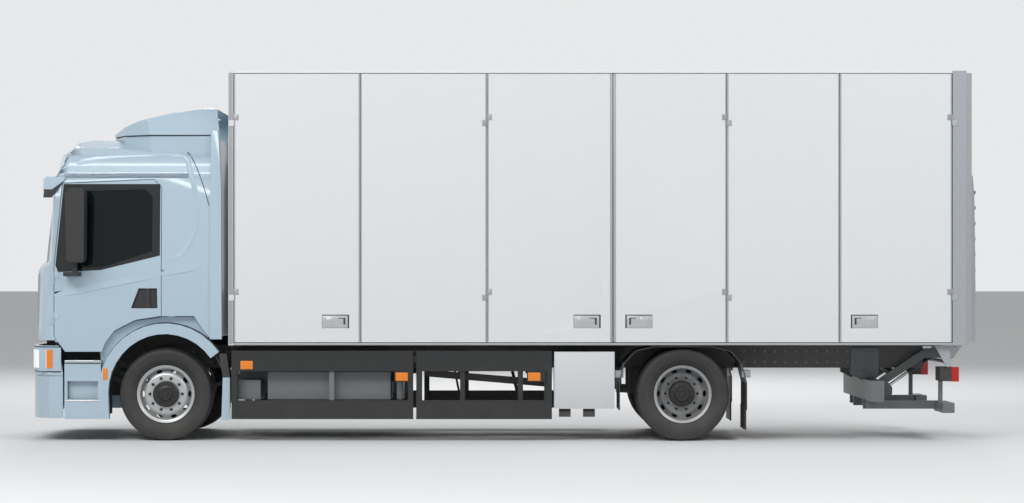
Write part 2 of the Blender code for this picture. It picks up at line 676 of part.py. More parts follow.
def front_panel():
    lid = nose_skin(LID, 0, LID_THICK)
    slots = [prism(rectangle(-0.72, 0.72, z, z + 0.03), "X", -1.9, CAB_FRONT + 0.016) for z in (1.20, 1.27, 1.34)]
    return fused(cut(lid, *slots), *[lid_barrel(y + 0.04 + SEAT, y + 0.08, -1) for y in (-0.30, 0.26)])


def windscreen():
    return nose_skin(inset(SCREEN, SEAT), GLASS_DEPTH, GLASS_DEPTH + GLASS)


def sun_visor():
    """A curved peak ahead of the screen's top, on stays from the cab's front."""
    outer = front_plan(1.17, FRONT_X + 0.004, 0.27, rear=-1.05)
    peak = cut(prism(outer, "Z", 2.62, 2.74), prism(inset(outer, 0.02), "Z", 2.5, 2.9), cab_form(-0.012))
    stays = [block(-1.43, -1.20, y, y + 0.03, 2.665, 2.70) for y in (-0.75, 0.72)]
    stays = [cut(stay, cab_form(-SEAT)) for stay in stays]
    return fused(peak, *stays)


def wind_deflector():
    """A roof fairing open below and behind, and a fin behind each rear corner of the cab."""
    half = 1.14
    roof = [
        (-0.60, 3.166), (-0.62, 3.19), (-0.30, 3.31), (0.05, 3.395), (0.45, 3.455), (0.52, 3.44), (0.56, 3.166),
    ]
    plan = [(-0.62, -0.55), (-0.45, -0.95), (-0.15, -half), (0.60, -half), (0.60, half), (-0.15, half),
            (-0.45, 0.95), (-0.62, 0.55)]
    view = [(half, 3.0), (half - 0.02, 3.30), (half - 0.12, 3.44), (half - 0.30, 3.47), (-half + 0.30, 3.47),
            (-half + 0.12, 3.44), (-half + 0.02, 3.30), (-half, 3.0)]

    def fairing(depth, low, back):
        outline = [(x, z) for x, z in inset(roof, depth)]
        outline = [(x, low if z < 3.18 and depth else z) for x, z in outline]
        outline = [(back if depth and x > 0.50 else x, z) for x, z in outline]
        return common(prism(outline, "Y", -1.5, 1.5), prism(inset(plan, depth), "Z", 3.0, 3.6),
                      prism(inset(view, depth), "X", -1.0, 1.0))

    pieces = [cut(fairing(0, 0, 0), fairing(0.03, 3.0, 0.9))]
    for side in (LEFT, RIGHT):
        wall = [(CAB_REAR + SEAT, 1.05), (0.59, 1.05), (0.58, 2.64), (0.545, 3.21), (CAB_REAR + SEAT, 3.21)]
        fin = prism(wall, "Y", side * 1.0, side * 1.4)
        tall = [(y, z + 0.26 if z > 2.9 else z) for y, z in CAB_VIEW]
        fin = common(fin, prism(inset(tall, -0.012), "X", 0, 1))
        pieces.append(cut(fin, prism(inset(tall, 0.022), "X", -0.1, 1.1)))
    return fused(*pieces)


def cab_interior():
    """Floor lining, two seats, the dash and the steering wheel on its column."""
    floor = [(-1.30, 1.05), (-0.62, 1.05), (-0.50, 1.14), (-0.28, 1.26), (0.0, 1.31), (0.36, 1.31),
             (0.36, 1.365), (-0.01, 1.365), (-0.325, 1.325), (-0.565, 1.212), (-0.675, 1.118), (-1.30, 1.118)]
    pieces = [prism(floor, "Y", -1.10, 1.10)]
    for side in (LEFT, RIGHT):
        y0, y1 = side * 0.34, side * 0.86
        pieces.append(prism([(-0.40, 1.30), (-0.32, 1.58), (0.12, 1.58), (0.12, 1.35), (0.0, 1.355)], "Y", y0, y1))
        cushion = [(-0.46, 1.56), (-0.48, 1.66), (-0.40, 1.70), (0.10, 1.67), (0.14, 1.56)]
        pieces.append(prism(cushion, "Y", side * 0.35, side * 0.85))
        back = [(0.04, 1.60), (0.12, 2.24), (0.17, 2.42), (0.25, 2.42), (0.26, 2.20), (0.20, 1.60)]
        pieces.append(prism(back, "Y", side * 0.36, side * 0.84))
    dash = [(-1.26, 1.105), (-1.26, 1.76), (-1.15, 1.82), (-0.93, 1.78), (-0.86, 1.68), (-0.90, 1.50), (-1.08, 1.40),
            (-1.12, 1.105)]
    pieces.append(prism(dash, "Y", -1.02, 1.02))
    start, end = Vector((-1.0, LEFT * 0.60, 1.62)), Vector((-0.70, LEFT * 0.60, 1.86))
    pieces.append(rod(start, end, 0.035, 10))
    wheel = bmesh.new()
    tilt = (end - start).to_track_quat("Z", "Y").to_matrix().to_4x4()
    rings = []
    for i in range(20):
        turn = 2 * math.pi * i / 20
        out = Vector((math.cos(turn), math.sin(turn), 0))
        around = [(math.cos(a), math.sin(a)) for a in (0, math.pi / 2, math.pi, 1.5 * math.pi)]
        points = [out * (0.215 + 0.015 * c) + Vector((0, 0, 0.015 * s)) for c, s in around]
        rings.append([wheel.verts.new(end + tilt @ p) for p in points])
    for i in range(20):
        for k in range(4):
            a, b = rings[i - 1], rings[i]
            wheel.faces.new((a[k - 1], a[k], b[k], b[k - 1]))
    pieces.append(form(wheel))
    for way in (0, 1):
        out = tilt @ (Vector((1, 0, 0)) if way else Vector((0, 1, 0)))
        pieces.append(rod(end - out * 0.215, end + out * 0.215, 0.012, 6))
    return common(fused(*pieces), cab_form(CAB_WALL + SEAT))


def mirror(side):
    """An upright housing outboard of the door's front, on two arms from the door's frame."""
    face = [(-0.97, 1.86), (-0.985, 2.54), (-0.95, 2.60), (-0.80, 2.60), (-0.785, 2.54), (-0.79, 1.88), (-0.82, 1.84),
            (-0.94, 1.84)]
    pieces = [prism(face, "Y", side * 1.30, side * 1.50)]
    pieces.append(block(-1.02, -0.86, side * (CAB_HALF + SEAT), side * 1.40, 1.70, 1.745))
    pieces.append(block(-0.93, -0.88, side * 1.34, side * 1.39, 1.72, 1.88))
    arm = block(-0.93, -0.88, side * 1.15, side * 1.35, 2.60 - 0.03, 2.60 + 0.012)
    pieces.append(cut(arm, prism(inset(CAB_VIEW, -SEAT), "X", -2, 1)))
    return fused(*pieces)


# Box body: front wall with its posts, floor, roof, rear frame, and the leaves between them
LEAF_HINGES = (1.45, 3.25)
LEAF_LOW = SILL_LOW + EDGE + RUN
LEAF_TOP = ROOF_TOP - EDGE - RUN
LEAF_IN = BODY_HALF - LEAF_THICK
BAY_FRONT = BOX_FRONT + POST_FRONT
BAY_REAR = FRAME_REAR - POST_REAR


def cargo_floor():
    """A deck flush with the sills, on a stringer over each frame rail."""
    half = [
        (STRINGER_IN_Y, RAIL_TOP + SEAT), (RAIL_OUT_Y, RAIL_TOP + SEAT), (RAIL_OUT_Y, SILL_LOW),
        (BODY_HALF, SILL_LOW), (BODY_HALF, FLOOR_TOP),
    ]
    outline = half + [(-y, z) for y, z in half[::-1]]
    slab = prism(outline, "X", BAY_FRONT + SEAT, BAY_REAR - SEAT)
    channel = block(BAY_FRONT - 1, BAY_REAR + 1, -STRINGER_IN_Y, STRINGER_IN_Y, 0.9, SILL_LOW)
    return cut(slab, channel)


def cargo_roof():
    """Deeper in the middle, and thin over the leaves, which close under its edges."""
    half = [
        (ROOF_FLAT_HALF, ROOF_LOW), (1.10, ROOF_TOP - EDGE), (BODY_HALF, ROOF_TOP - EDGE),
        (BODY_HALF, ROOF_TOP - 0.006), (BODY_HALF - 0.008, ROOF_TOP),
    ]
    outline = half + [(-y, z) for y, z in half[::-1]]
    return prism(outline, "X", BAY_FRONT + SEAT, BAY_REAR - SEAT)


def front_wall():
    outline = rectangle(-BODY_HALF, BODY_HALF, SILL_LOW, ROOF_TOP)
    wall = prism(outline, "X", BOX_FRONT, BAY_FRONT)
    pieces = [wall]
    for y in (-0.80, 0.72):
        pieces.append(block(BOX_FRONT - 0.03, BOX_FRONT + 0.01, y, y + 0.08, 1.4, 3.2))
    for side in (LEFT, RIGHT):
        pieces.append(block(BOX_FRONT, BAY_FRONT - 0.001, side * STRINGER_IN_Y, side * RAIL_OUT_Y, RAIL_TOP + SEAT, SILL_LOW + 0.01))
        pieces += hinge(BAY_FRONT + LEAF_GAP / 2, side * (BODY_HALF + LEAF_PIN), -side, LEAF_HINGES, -1)
    return fused(*pieces)


def rear_frame():
    outline = rectangle(-BODY_HALF, BODY_HALF, SILL_LOW, ROOF_TOP)
    ring = prism(outline, "X", BAY_REAR, FRAME_REAR)
    ring = cut(ring, block(7, 9, -1.15, 1.15, FLOOR_TOP, ROOF_LOW))
    pieces = [ring]
    for side in (LEFT, RIGHT):
        pieces += hinge(BAY_REAR - LEAF_GAP / 2, side * (BODY_HALF + LEAF_PIN), -side, LEAF_HINGES, 1)
        stay = [(7.954, 0.985), (8.077, 0.765), (8.115, 0.765), (8.115, 0.94), (8.16, 0.94), (8.16, 1.0),
                (8.134, 1.0), (8.134, 0.985)]
        pieces.append(prism(stay, "Y", side * 1.18, side * 1.20))
    return fused(*pieces)


# The leaves of one side are two runs of three, which fold away from the middle towards their posts
def leaf_runs():
    """Each leaf as (run, number from the post, seam at its post side, seam at its free side)."""
    bay = BAY_REAR - BAY_FRONT
    share = bay / sum(LEAF_SHARE)
    seams = [BAY_FRONT]
    for width in LEAF_SHARE:
        seams.append(seams[-1] + width * share)
    rows = []
    for k in range(3):
        rows.append(("front", k, seams[k], seams[k + 1]))
        rows.append(("rear", k, seams[6 - k], seams[5 - k]))
    return rows


def seam_axis(k, near, side, way):
    """Where a leaf turns: off the outer face, or off the inner face for the second leaf of a run."""
    x = near + way * LEAF_GAP / 2 if k == 0 else near
    y = LEAF_IN - LEAF_PIN if k == 1 else BODY_HALF + LEAF_PIN
    return x, side * y


def leaf(k, near, far, side, way):
    """A panel with rounded outer edges. way is +1 where the run leads rearwards."""
    start = near + way * (LEAF_GAP if k == 0 else LEAF_GAP / 2)
    end = far - way * (LEAF_MEET / 2 if k == 2 else LEAF_GAP / 2)
    soft = 0.004
    outline = [
        (start, side * LEAF_IN), (start, side * (BODY_HALF - soft)), (start + way * soft, side * BODY_HALF),
        (end - way * soft, side * BODY_HALF), (end, side * (BODY_HALF - soft)), (end, side * LEAF_IN),
    ]
    panel = prism(outline, "Z", LEAF_LOW, LEAF_TOP)
    if k != 1:
        lock = end - way * 0.25
        panel = cut(panel, prism(rectangle(lock - 0.14, lock + 0.14, 1.165, 1.305), "Y",
                                 side * (BODY_HALF - 0.012), side * (BODY_HALF + 0.1)))
    x, y = seam_axis(k, near, side, way)
    inward = side if k == 1 else -side
    pieces = [panel, *hinge(x, y, inward, LEAF_HINGES, way, upper=True)]
    if k < 2:
        x, y = seam_axis(k + 1, far, side, way)
        pieces += hinge(x, y, side if k == 0 else -side, LEAF_HINGES, -way)
    return fused(*pieces)


def rear_doors():
    """Two leaves behind the stowed platform, joined by the cover strip over their meeting edge."""
    x0 = FRAME_REAR + SEAT
    x1 = x0 + REAR_DOOR_THICK
    panel = block(x0, x1, -BODY_HALF + 0.004, BODY_HALF - 0.004, 1.02, 3.795)
    seam = block(x0 - 0.1, x0 + 0.012, -0.004, 0.004, 0.9, 4)
    groove = [block(x1 - 0.012, x1 + 0.1, y, y + 0.008, 0.9, 4) for y in (-0.034, 0.026)]
    pieces = [cut(panel, seam, *groove)]
    for side in (LEFT, RIGHT):
        for z in (1.25, 2.0, 2.9, 3.65):
            pieces.append(block(x1 - 0.02, x1 + 0.004, side * 0.95, side * (BODY_HALF - 0.006), z, z + 0.05))
        pieces.append(block(x1 - 0.02, x1 + 0.003, side * (BODY_HALF - 0.030), side * (BODY_HALF - 0.004), 1.02, 3.795))
    return fused(*pieces)


# Tail lift: the frame under the rear, arms, carrier, platform, and a pair of cylinders
def lift_frame():
    pieces = [block(7.305, 7.44, -1.15, 1.15, 0.402, 0.618)]
    for side in (LEFT, RIGHT):
        plate = [(7.18, 0.94), (7.48, 0.94), (7.48, 0.66), (7.44, 0.60), (7.30, 0.60), (7.18, 0.66)]
        pieces.append(prism(plate, "Y", side * (RAIL_OUT_Y + SEAT), side * (RAIL_OUT_Y + 0.02)))
        inner, outer = ARM_Y - ARM_HALF - SEAT, ARM_Y + ARM_HALF + SEAT
        lug = [(7.35, 0.41), (7.56, 0.41), (7.61, 0.46), (7.61, 0.53), (7.54, 0.61), (7.35, 0.61)]
        for y0, y1 in ((inner - 0.02, inner), (outer, outer + 0.02)):
            pieces.append(prism(lug, "Y", side * y0, side * y1))
        for y, low, top in ((0.37, 0.295, 0.340), (0.66, 0.309, 0.395)):
            pieces.append(block(7.43, 8.10, side * y, side * (y + 0.06), low, top))
            pieces.append(block(7.32, 7.43 + 0.02, side * y, side * (y + 0.06), low, 0.43))
        pieces.append(block(8.04, 8.16, side * 0.62, side * 1.20, 0.288, 0.391))
        pieces.append(block(8.085, 8.16, 0, side * 0.43, 0.288, 0.338))
        lamp = block(8.015, 8.205, side * 0.86, side * 1.17, 0.615, 0.760)
        pieces.append(lamp)
        pieces.append(block(8.02, 8.06, side * 1.0, side * 1.05, 0.34, 0.63))
    return fused(*pieces)


def lift_arms():
    pieces = []
    for side in (LEFT, RIGHT):
        y0, y1 = side * (ARM_Y - ARM_HALF), side * (ARM_Y + ARM_HALF)
        bend = (7.95, 0.885)
        pieces.append(disc(LIFT_X, LIFT_Z, 0.045, y0, y1))
        pieces.append(strut((LIFT_X, LIFT_Z + 0.02), bend, 0.085, y0, y1))
        pieces.append(strut((bend[0] - 0.04, bend[1] - 0.012), (PIN_X, PIN_Z), 0.075, y0, y1))
        pieces.append(disc(PIN_X, PIN_Z, 0.042, y0, y1))
    pieces.append(rod((7.65, -ARM_Y, 0.685), (7.65, ARM_Y, 0.685), 0.035, 10))
    return fused(*pieces)


def lift_carrier():
    """A plate beside each arm's end, which keeps the platform's attitude, joined by a tube."""
    pieces = []
    face = ARM_Y + ARM_HALF + SEAT
    for side in (LEFT, RIGHT):
        plate = [(8.12, 0.835), (8.20, 0.815), (8.262, 0.845), (8.285, 0.90), (8.285, 0.965), (8.20, 0.93)]
        pieces.append(prism(plate, "Y", side * face, side * (face + 0.03)))
    pieces.append(rod((8.165, -face - 0.01, 0.80), (8.165, face + 0.01, 0.80), 0.02, 8))
    for side in (LEFT, RIGHT):
        pieces.append(block(8.15, 8.18, side * face, side * (face + 0.03), 0.79, 0.85))
    return fused(*pieces)


def lift_platform():
    low, top = PLATFORM_LOW, PLATFORM_TOP
    x = PLATFORM_FRONT
    side_view = [(x, low), (x + 0.045, low), (x + 0.040, 1.9), (x + 0.030, 2.55), (x + 0.014, top), (x, top)]
    pieces = [prism(side_view, "Y", -PLATFORM_HALF, PLATFORM_HALF)]
    face = ARM_Y + ARM_HALF + 0.03 + 2 * SEAT
    for side in (LEFT, RIGHT):
        foot = [(8.19, 0.85), (8.225, 0.84), (8.262, 0.86), (8.33, 0.955), (x + 0.04, 1.05), (x + 0.002, 1.05),
                (x, 1.005), (8.30, 0.975), (8.20, 0.91)]
        pieces.append(prism(foot, "Y", side * face, side * (face + 0.03)))
        lug = [(x + 0.035, 1.235), (REAR_X, 1.12), (REAR_X, 1.075), (REAR_X - 0.012, 1.06), (x + 0.035, 1.06)]
        pieces.append(prism(lug, "Y", side * 0.68, side * 0.71))
    return fused(*pieces)


def lift_cylinders(rods):
    """The tubes hang on the arms' cross shaft and the rods slide out of them towards the frame."""
    tube, eye = Vector((TUBE_X, 0, TUBE_Z)), Vector((ROD_X, 0, ROD_Z))
    along = (eye - tube).normalized()
    pieces = []
    for side in (LEFT, RIGHT):
        out = Vector((0, side * CYLINDER_Y, 0))
        if rods:
            pieces.append(rod(tube + along * 0.20 + out, eye + out, 0.016, 10))
        else:
            wall = rod(tube - along * 0.02 + out, tube + along * 0.26 + out, 0.03, 12)
            pieces.append(cut(wall, rod(tube + along * 0.13 + out, tube + along * 0.30 + out, 0.0168, 10)))
    centre, reach, radius = (eye, 0.44, 0.022) if rods else (tube, ARM_Y - ARM_HALF - SEAT, 0.02)
    across = Vector((0, reach, 0))
    pieces.append(rod(centre - across, centre + across, radius, 8))
    return fused(*pieces)


root = axis("truck", 0, 0, 0)
part("chassis_frame", chassis_frame(), CHASSIS_GREY, root)
part("front_axle", front_axle(), CHASSIS_GREY, root)
part("rear_axle", rear_axle(), CHASSIS_GREY, root)
part("front_bumper", front_bumper(), CAB_PAINT, root)
part("side_cabinet", side_cabinet(), PANEL_WHITE, root)
part("cargo_floor", cargo_floor(), ALUMINIUM, root)
part("cargo_roof", cargo_roof(), PANEL_WHITE, root)
part("front_wall", front_wall(), PANEL_WHITE, root)
part("rear_frame", rear_frame(), ALUMINIUM, root)
part("rear_doors", rear_doors(), ALUMINIUM, root)

tilt = axis("cab_tilt_axis", TILT_X, 0, TILT_Z, root)
part("cab_shell", cab_shell(), CAB_PAINT, tilt)
part("windscreen", windscreen(), GLASS_DARK, tilt)
part("sun_visor", sun_visor(), BLACK_PLASTIC, tilt)
part("wind_deflector", wind_deflector(), CAB_PAINT, tilt)
part("cab_interior", cab_interior(), TRIM_GREY, tilt)
lid_x, lid_z = lid_axis()
part("front_panel", front_panel(), CAB_PAINT, tilt, (lid_x, 0, lid_z))

for name, side in SIDES.items():
    part(f"batteries_{name}", batteries(side), CASE_GREY, root)
    part(f"side_skirt_{name}", side_skirt(side, SKIRT_REAR if side == LEFT else CABINET[1]), BLACK_PLASTIC, root)
    part(f"rear_mudguard_{name}", rear_mudguard(side), CHASSIS_GREY, root)
    part(f"front_arch_{name}", front_arch(side), CAB_PAINT, root)

    pin = axis(f"kingpin_{name}", 0, side * KINGPIN_Y, AXLE_Z, root)
    part(f"knuckle_{name}", knuckle(side), CHASSIS_GREY, pin, (0, side * KINGPIN_Y, AXLE_Z))
    hub = axis(f"front_hub_{name}", 0, side * FRONT_TYRE_Y, AXLE_Z, pin)
    hub_place = (0, side * FRONT_TYRE_Y, AXLE_Z)
    part(f"front_rim_{name}", front_rim(side), RIM_SILVER, hub, hub_place)
    part(f"front_tyre_{name}", tyre(0, FRONT_TYRE_Y, side), TYRE_RUBBER, hub, hub_place)
    hub_place = (REAR_AXLE, side * REAR_OUTER_Y, AXLE_Z)
    hub = axis(f"rear_hub_{name}", *hub_place, root)
    part(f"rear_rims_{name}", rear_rims(side), RIM_GREY, hub, hub_place)
    part(f"rear_tyre_outer_{name}", tyre(REAR_AXLE, REAR_OUTER_Y, side), TYRE_RUBBER, hub, hub_place)
    part(f"rear_tyre_inner_{name}", tyre(REAR_AXLE, REAR_INNER_Y, side), TYRE_RUBBER, hub, hub_place)

    door_place = (HINGE_X, side * HINGE_Y, 1.30)
    swing = axis(f"cab_door_axis_{name}", *door_place, tilt)
    part(f"cab_door_{name}", cab_door(side), CAB_PAINT, swing, door_place)
    part(f"door_glass_{name}", door_glass(side), GLASS_DARK, swing, door_place)
    part(f"mirror_{name}", mirror(side), BLACK_PLASTIC, swing, door_place)

    carrier = {"front": root, "rear": root}
    for run, k, near, far in leaf_runs():
        way = 1 if run == "front" else -1
        x, y = seam_axis(k, near, side, way)
        place = (x, y, LEAF_LOW)
        carrier[run] = axis(f"leaf_axis_{run}_{k + 1}_{name}", *place, carrier[run])
        part(f"side_leaf_{run}_{k + 1}_{name}", leaf(k, near, far, side, way), PANEL_WHITE, carrier[run], place)

part("lift_frame", lift_frame(), LIFT_GREY, root)
lift = axis("lift_axis", LIFT_X, 0, LIFT_Z, root)
part("lift_arms", lift_arms(), LIFT_GREY, lift, (LIFT_X, 0, LIFT_Z))
pin = axis("lift_pin_axis", PIN_X, 0, PIN_Z, lift)
part("lift_carrier", lift_carrier(), LIFT_GREY, pin, (PIN_X, 0, PIN_Z))
part("lift_platform", lift_platform(), ALUMINIUM, pin, (PIN_X, 0, PIN_Z))
shaft = axis("lift_tube_axis", TUBE_X, 0, TUBE_Z, lift)
part("lift_tubes", lift_cylinders(rods=False), BLACK_PLASTIC, shaft, (TUBE_X, 0, TUBE_Z))
part("lift_rods", lift_cylinders(rods=True), CHROME, shaft, (ROD_X, 0, ROD_Z))
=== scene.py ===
"""A two-axle electric truck with a box body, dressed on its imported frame: camera and light first, then the pieces."""

import json
import math

import bmesh
import bpy
from mathutils import Matrix, Vector


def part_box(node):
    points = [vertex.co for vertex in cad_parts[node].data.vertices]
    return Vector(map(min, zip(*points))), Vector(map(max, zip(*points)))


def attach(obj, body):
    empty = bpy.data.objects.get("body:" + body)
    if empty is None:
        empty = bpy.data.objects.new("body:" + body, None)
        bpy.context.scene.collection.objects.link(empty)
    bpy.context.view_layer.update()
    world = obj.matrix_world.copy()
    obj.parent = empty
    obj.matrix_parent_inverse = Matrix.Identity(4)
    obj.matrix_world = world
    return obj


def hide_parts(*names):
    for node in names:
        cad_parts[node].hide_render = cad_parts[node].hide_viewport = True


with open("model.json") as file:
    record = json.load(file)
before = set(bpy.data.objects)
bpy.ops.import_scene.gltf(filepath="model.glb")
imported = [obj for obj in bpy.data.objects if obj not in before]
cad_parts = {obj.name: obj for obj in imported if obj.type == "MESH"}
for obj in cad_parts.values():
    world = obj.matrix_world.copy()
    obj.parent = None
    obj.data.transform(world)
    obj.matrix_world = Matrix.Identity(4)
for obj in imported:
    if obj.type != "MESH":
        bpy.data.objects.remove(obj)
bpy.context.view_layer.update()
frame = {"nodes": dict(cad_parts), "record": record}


# The view, the floor and the light
# The truck is seen square from its left-hand side, from about 27 m, with the eye at 1.65 m. It stands on a
# pale floor that runs out to a pale sky, under three soft lamps and an even white light from all round.
EYE = (0.111, -28.475, 1.65)
LENS = 92.8
HORIZON_SHIFT = 0.0290
FLOOR_GREY = (0.72, 0.73, 0.74)
SKY_GREY = (0.80, 0.81, 0.82)
EVEN_LIGHT = 0.42
FLOOR_REACH, FLOOR_ROUGHNESS = 400, 0.75

lens = bpy.data.cameras.new("side_view")
lens.lens = LENS
lens.sensor_width = 36
lens.shift_y = HORIZON_SHIFT
lens.clip_end = 2000
camera = bpy.data.objects.new("side_view", lens)
camera.location = EYE
camera.rotation_euler = (math.radians(90), 0, 0)
bpy.context.scene.collection.objects.link(camera)
bpy.context.scene.camera = camera
bpy.context.scene.view_settings.view_transform = "Standard"


def lamp(name, place, target, width, height, watts):
    """A soft rectangular lamp that faces its target."""
    light = bpy.data.lights.new(name, "AREA")
    light.shape = "RECTANGLE"
    light.size, light.size_y, light.energy = width, height, watts
    stand = bpy.data.objects.new(name, light)
    stand.location = place
    stand.rotation_euler = (Vector(target) - Vector(place)).to_track_quat("-Z", "Y").to_euler()
    bpy.context.scene.collection.objects.link(stand)


lamp("high_front_lamp", (-9, -15, 13), (-1, 0, 1.5), 14, 6, 2100)
lamp("high_rear_lamp", (11, -9, 11), (2, 0, 1.5), 10, 6, 900)
lamp("far_side_lamp", (0, 16, 12), (0, 0, 2), 14, 6, 1500)

sky = bpy.data.worlds.new("even_sky")
bpy.context.scene.world = sky
sky.use_nodes = True
nodes, links = sky.node_tree.nodes, sky.node_tree.links
nodes.clear()
path = nodes.new("ShaderNodeLightPath")
seen = nodes.new("ShaderNodeMath")
seen.operation = "MAXIMUM"
mirrored = nodes.new("ShaderNodeMath")
mirrored.operation = "MAXIMUM"
links.new(path.outputs["Is Camera Ray"], seen.inputs[0])
links.new(path.outputs["Is Transmission Ray"], seen.inputs[1])
links.new(seen.outputs[0], mirrored.inputs[0])
links.new(path.outputs["Is Glossy Ray"], mirrored.inputs[1])
lit, shown = nodes.new("ShaderNodeBackground"), nodes.new("ShaderNodeBackground")
lit.inputs["Color"].default_value = (1, 1, 1, 1)
lit.inputs["Strength"].default_value = EVEN_LIGHT
shown.inputs["Color"].default_value = (*SKY_GREY, 1)
mixed, out = nodes.new("ShaderNodeMixShader"), nodes.new("ShaderNodeOutputWorld")
links.new(mirrored.outputs[0], mixed.inputs[0])
links.new(lit.outputs[0], mixed.inputs[1])
links.new(shown.outputs[0], mixed.inputs[2])
links.new(mixed.outputs[0], out.inputs["Surface"])

floor_mesh = bpy.data.meshes.new("studio_floor")
corners = [(x * FLOOR_REACH, y * FLOOR_REACH, 0) for x, y in ((-1, -1), (1, -1), (1, 1), (-1, 1))]
floor_mesh.from_pydata(corners, [], [(0, 1, 2, 3)])
floor = bpy.data.objects.new("studio_floor", floor_mesh)
bpy.context.scene.collection.objects.link(floor)
pale = bpy.data.materials.new("studio_floor")
pale.use_nodes = True
pale.node_tree.nodes["Principled BSDF"].inputs["Base Color"].default_value = (*FLOOR_GREY, 1)
pale.node_tree.nodes["Principled BSDF"].inputs["Roughness"].default_value = FLOOR_ROUGHNESS
floor_mesh.materials.append(pale)


# Chassis frame and axles
# Two pressed channels with cross members, painted dark grey.
# Everything under the floor carries a film of road dust that is thickest near the ground.
CHASSIS_GREY = (0.060, 0.062, 0.066)
DUST = (0.30, 0.28, 0.25)
SIDES = (("left", -1), ("right", 1))
WELD = 0.00002
FLAT_ANGLE = 0.6


def shader_group(name, inputs, outputs):
    """An empty node group with these float and colour sockets, and its two end nodes."""
    tree = bpy.data.node_groups.new(name, "ShaderNodeTree")
    for side, sockets in (("INPUT", inputs), ("OUTPUT", outputs)):
        for socket, kind in sockets:
            tree.interface.new_socket(name=socket, in_out=side, socket_type=kind)
    return tree, tree.nodes.new("NodeGroupInput"), tree.nodes.new("NodeGroupOutput")


def maths(tree, kind, first, second, clamp=False):
    """The result of a maths node on two sockets or numbers."""
    node = tree.nodes.new("ShaderNodeMath")
    node.operation = kind
    node.use_clamp = clamp
    for socket, value in zip(node.inputs, (first, second)):
        if isinstance(value, (int, float)):
            socket.default_value = value
        else:
            tree.links.new(value, socket)
    return node.outputs[0]


def noise(tree, scale, detail):
    """Cloudy noise that stands still on the piece, from its own coordinates in metres."""
    place = tree.nodes.new("ShaderNodeTexCoord")
    cloud = tree.nodes.new("ShaderNodeTexNoise")
    cloud.inputs["Detail"].default_value = detail
    tree.links.new(place.outputs["Object"], cloud.inputs["Vector"])
    if isinstance(scale, (int, float)):
        cloud.inputs["Scale"].default_value = scale
    else:
        tree.links.new(scale, cloud.inputs["Scale"])
    return cloud.outputs["Fac"]


ROAD_FILM, given, sent = shader_group(
    "road_film",
    [("Paint", "NodeSocketColor"), ("Dust", "NodeSocketColor"), ("Reach", "NodeSocketFloat"),
     ("Amount", "NodeSocketFloat"), ("Gloss", "NodeSocketFloat"), ("Drift", "NodeSocketFloat")],
    [("Colour", "NodeSocketColor"), ("Roughness", "NodeSocketFloat")],
)
place = ROAD_FILM.nodes.new("ShaderNodeTexCoord")
height = ROAD_FILM.nodes.new("ShaderNodeSeparateXYZ")
ROAD_FILM.links.new(place.outputs["Object"], height.inputs[0])
fall = maths(ROAD_FILM, "DIVIDE", height.outputs["Z"], given.outputs["Reach"])
low = maths(ROAD_FILM, "SUBTRACT", 1, fall, clamp=True)
cloud = noise(ROAD_FILM, 5, 6)
cover = maths(ROAD_FILM, "MULTIPLY", maths(ROAD_FILM, "MULTIPLY", low, cloud), given.outputs["Amount"], clamp=True)
film = ROAD_FILM.nodes.new("ShaderNodeMix")
film.data_type = "RGBA"
ROAD_FILM.links.new(cover, film.inputs["Factor"])
ROAD_FILM.links.new(given.outputs["Paint"], film.inputs["A"])
ROAD_FILM.links.new(given.outputs["Dust"], film.inputs["B"])
speckle = maths(ROAD_FILM, "SUBTRACT", noise(ROAD_FILM, 14, 4), 0.5)
mottle = maths(ROAD_FILM, "MULTIPLY", speckle, given.outputs["Drift"])
shade = ROAD_FILM.nodes.new("ShaderNodeHueSaturation")
ROAD_FILM.links.new(film.outputs["Result"], shade.inputs["Color"])
ROAD_FILM.links.new(maths(ROAD_FILM, "ADD", mottle, 1), shade.inputs["Value"])
ROAD_FILM.links.new(shade.outputs["Color"], sent.inputs["Colour"])
rough = maths(ROAD_FILM, "ADD", given.outputs["Gloss"], maths(ROAD_FILM, "MULTIPLY", cover, 0.5))
ROAD_FILM.links.new(maths(ROAD_FILM, "ADD", rough, mottle, clamp=True), sent.inputs["Roughness"])

GRAIN, given, sent = shader_group("fine_grain", [("Scale", "NodeSocketFloat")], [("Height", "NodeSocketFloat")])
GRAIN.links.new(noise(GRAIN, given.outputs["Scale"], 3), sent.inputs["Height"])


def finish(name, colour, gloss, metal=0.0, dust=0.35, reach=1.0, drift=0.06, grain=(60, 0.0004), coat=0.0):
    """A painted, plastic or metal surface with its own mottle and grain, and road dust up to a height in metres."""
    made = bpy.data.materials.new(name)
    made.use_nodes = True
    tree = made.node_tree
    shader = tree.nodes["Principled BSDF"]
    shader.inputs["Metallic"].default_value = metal
    shader.inputs["Coat Weight"].default_value = coat
    shader.inputs["Coat Roughness"].default_value = 0.08
    road = tree.nodes.new("ShaderNodeGroup")
    road.node_tree = ROAD_FILM
    road.inputs["Paint"].default_value = (*colour, 1)
    road.inputs["Dust"].default_value = (*DUST, 1)
    for socket, value in (("Reach", reach), ("Amount", dust), ("Gloss", gloss), ("Drift", drift)):
        road.inputs[socket].default_value = value
    tree.links.new(road.outputs["Colour"], shader.inputs["Base Color"])
    tree.links.new(road.outputs["Roughness"], shader.inputs["Roughness"])
    scale, depth = grain
    texture = tree.nodes.new("ShaderNodeGroup")
    texture.node_tree = GRAIN
    texture.inputs["Scale"].default_value = scale
    bump = tree.nodes.new("ShaderNodeBump")
    bump.inputs["Distance"].default_value = depth
    tree.links.new(texture.outputs["Height"], bump.inputs["Height"])
    tree.links.new(bump.outputs["Normal"], shader.inputs["Normal"])
    return made


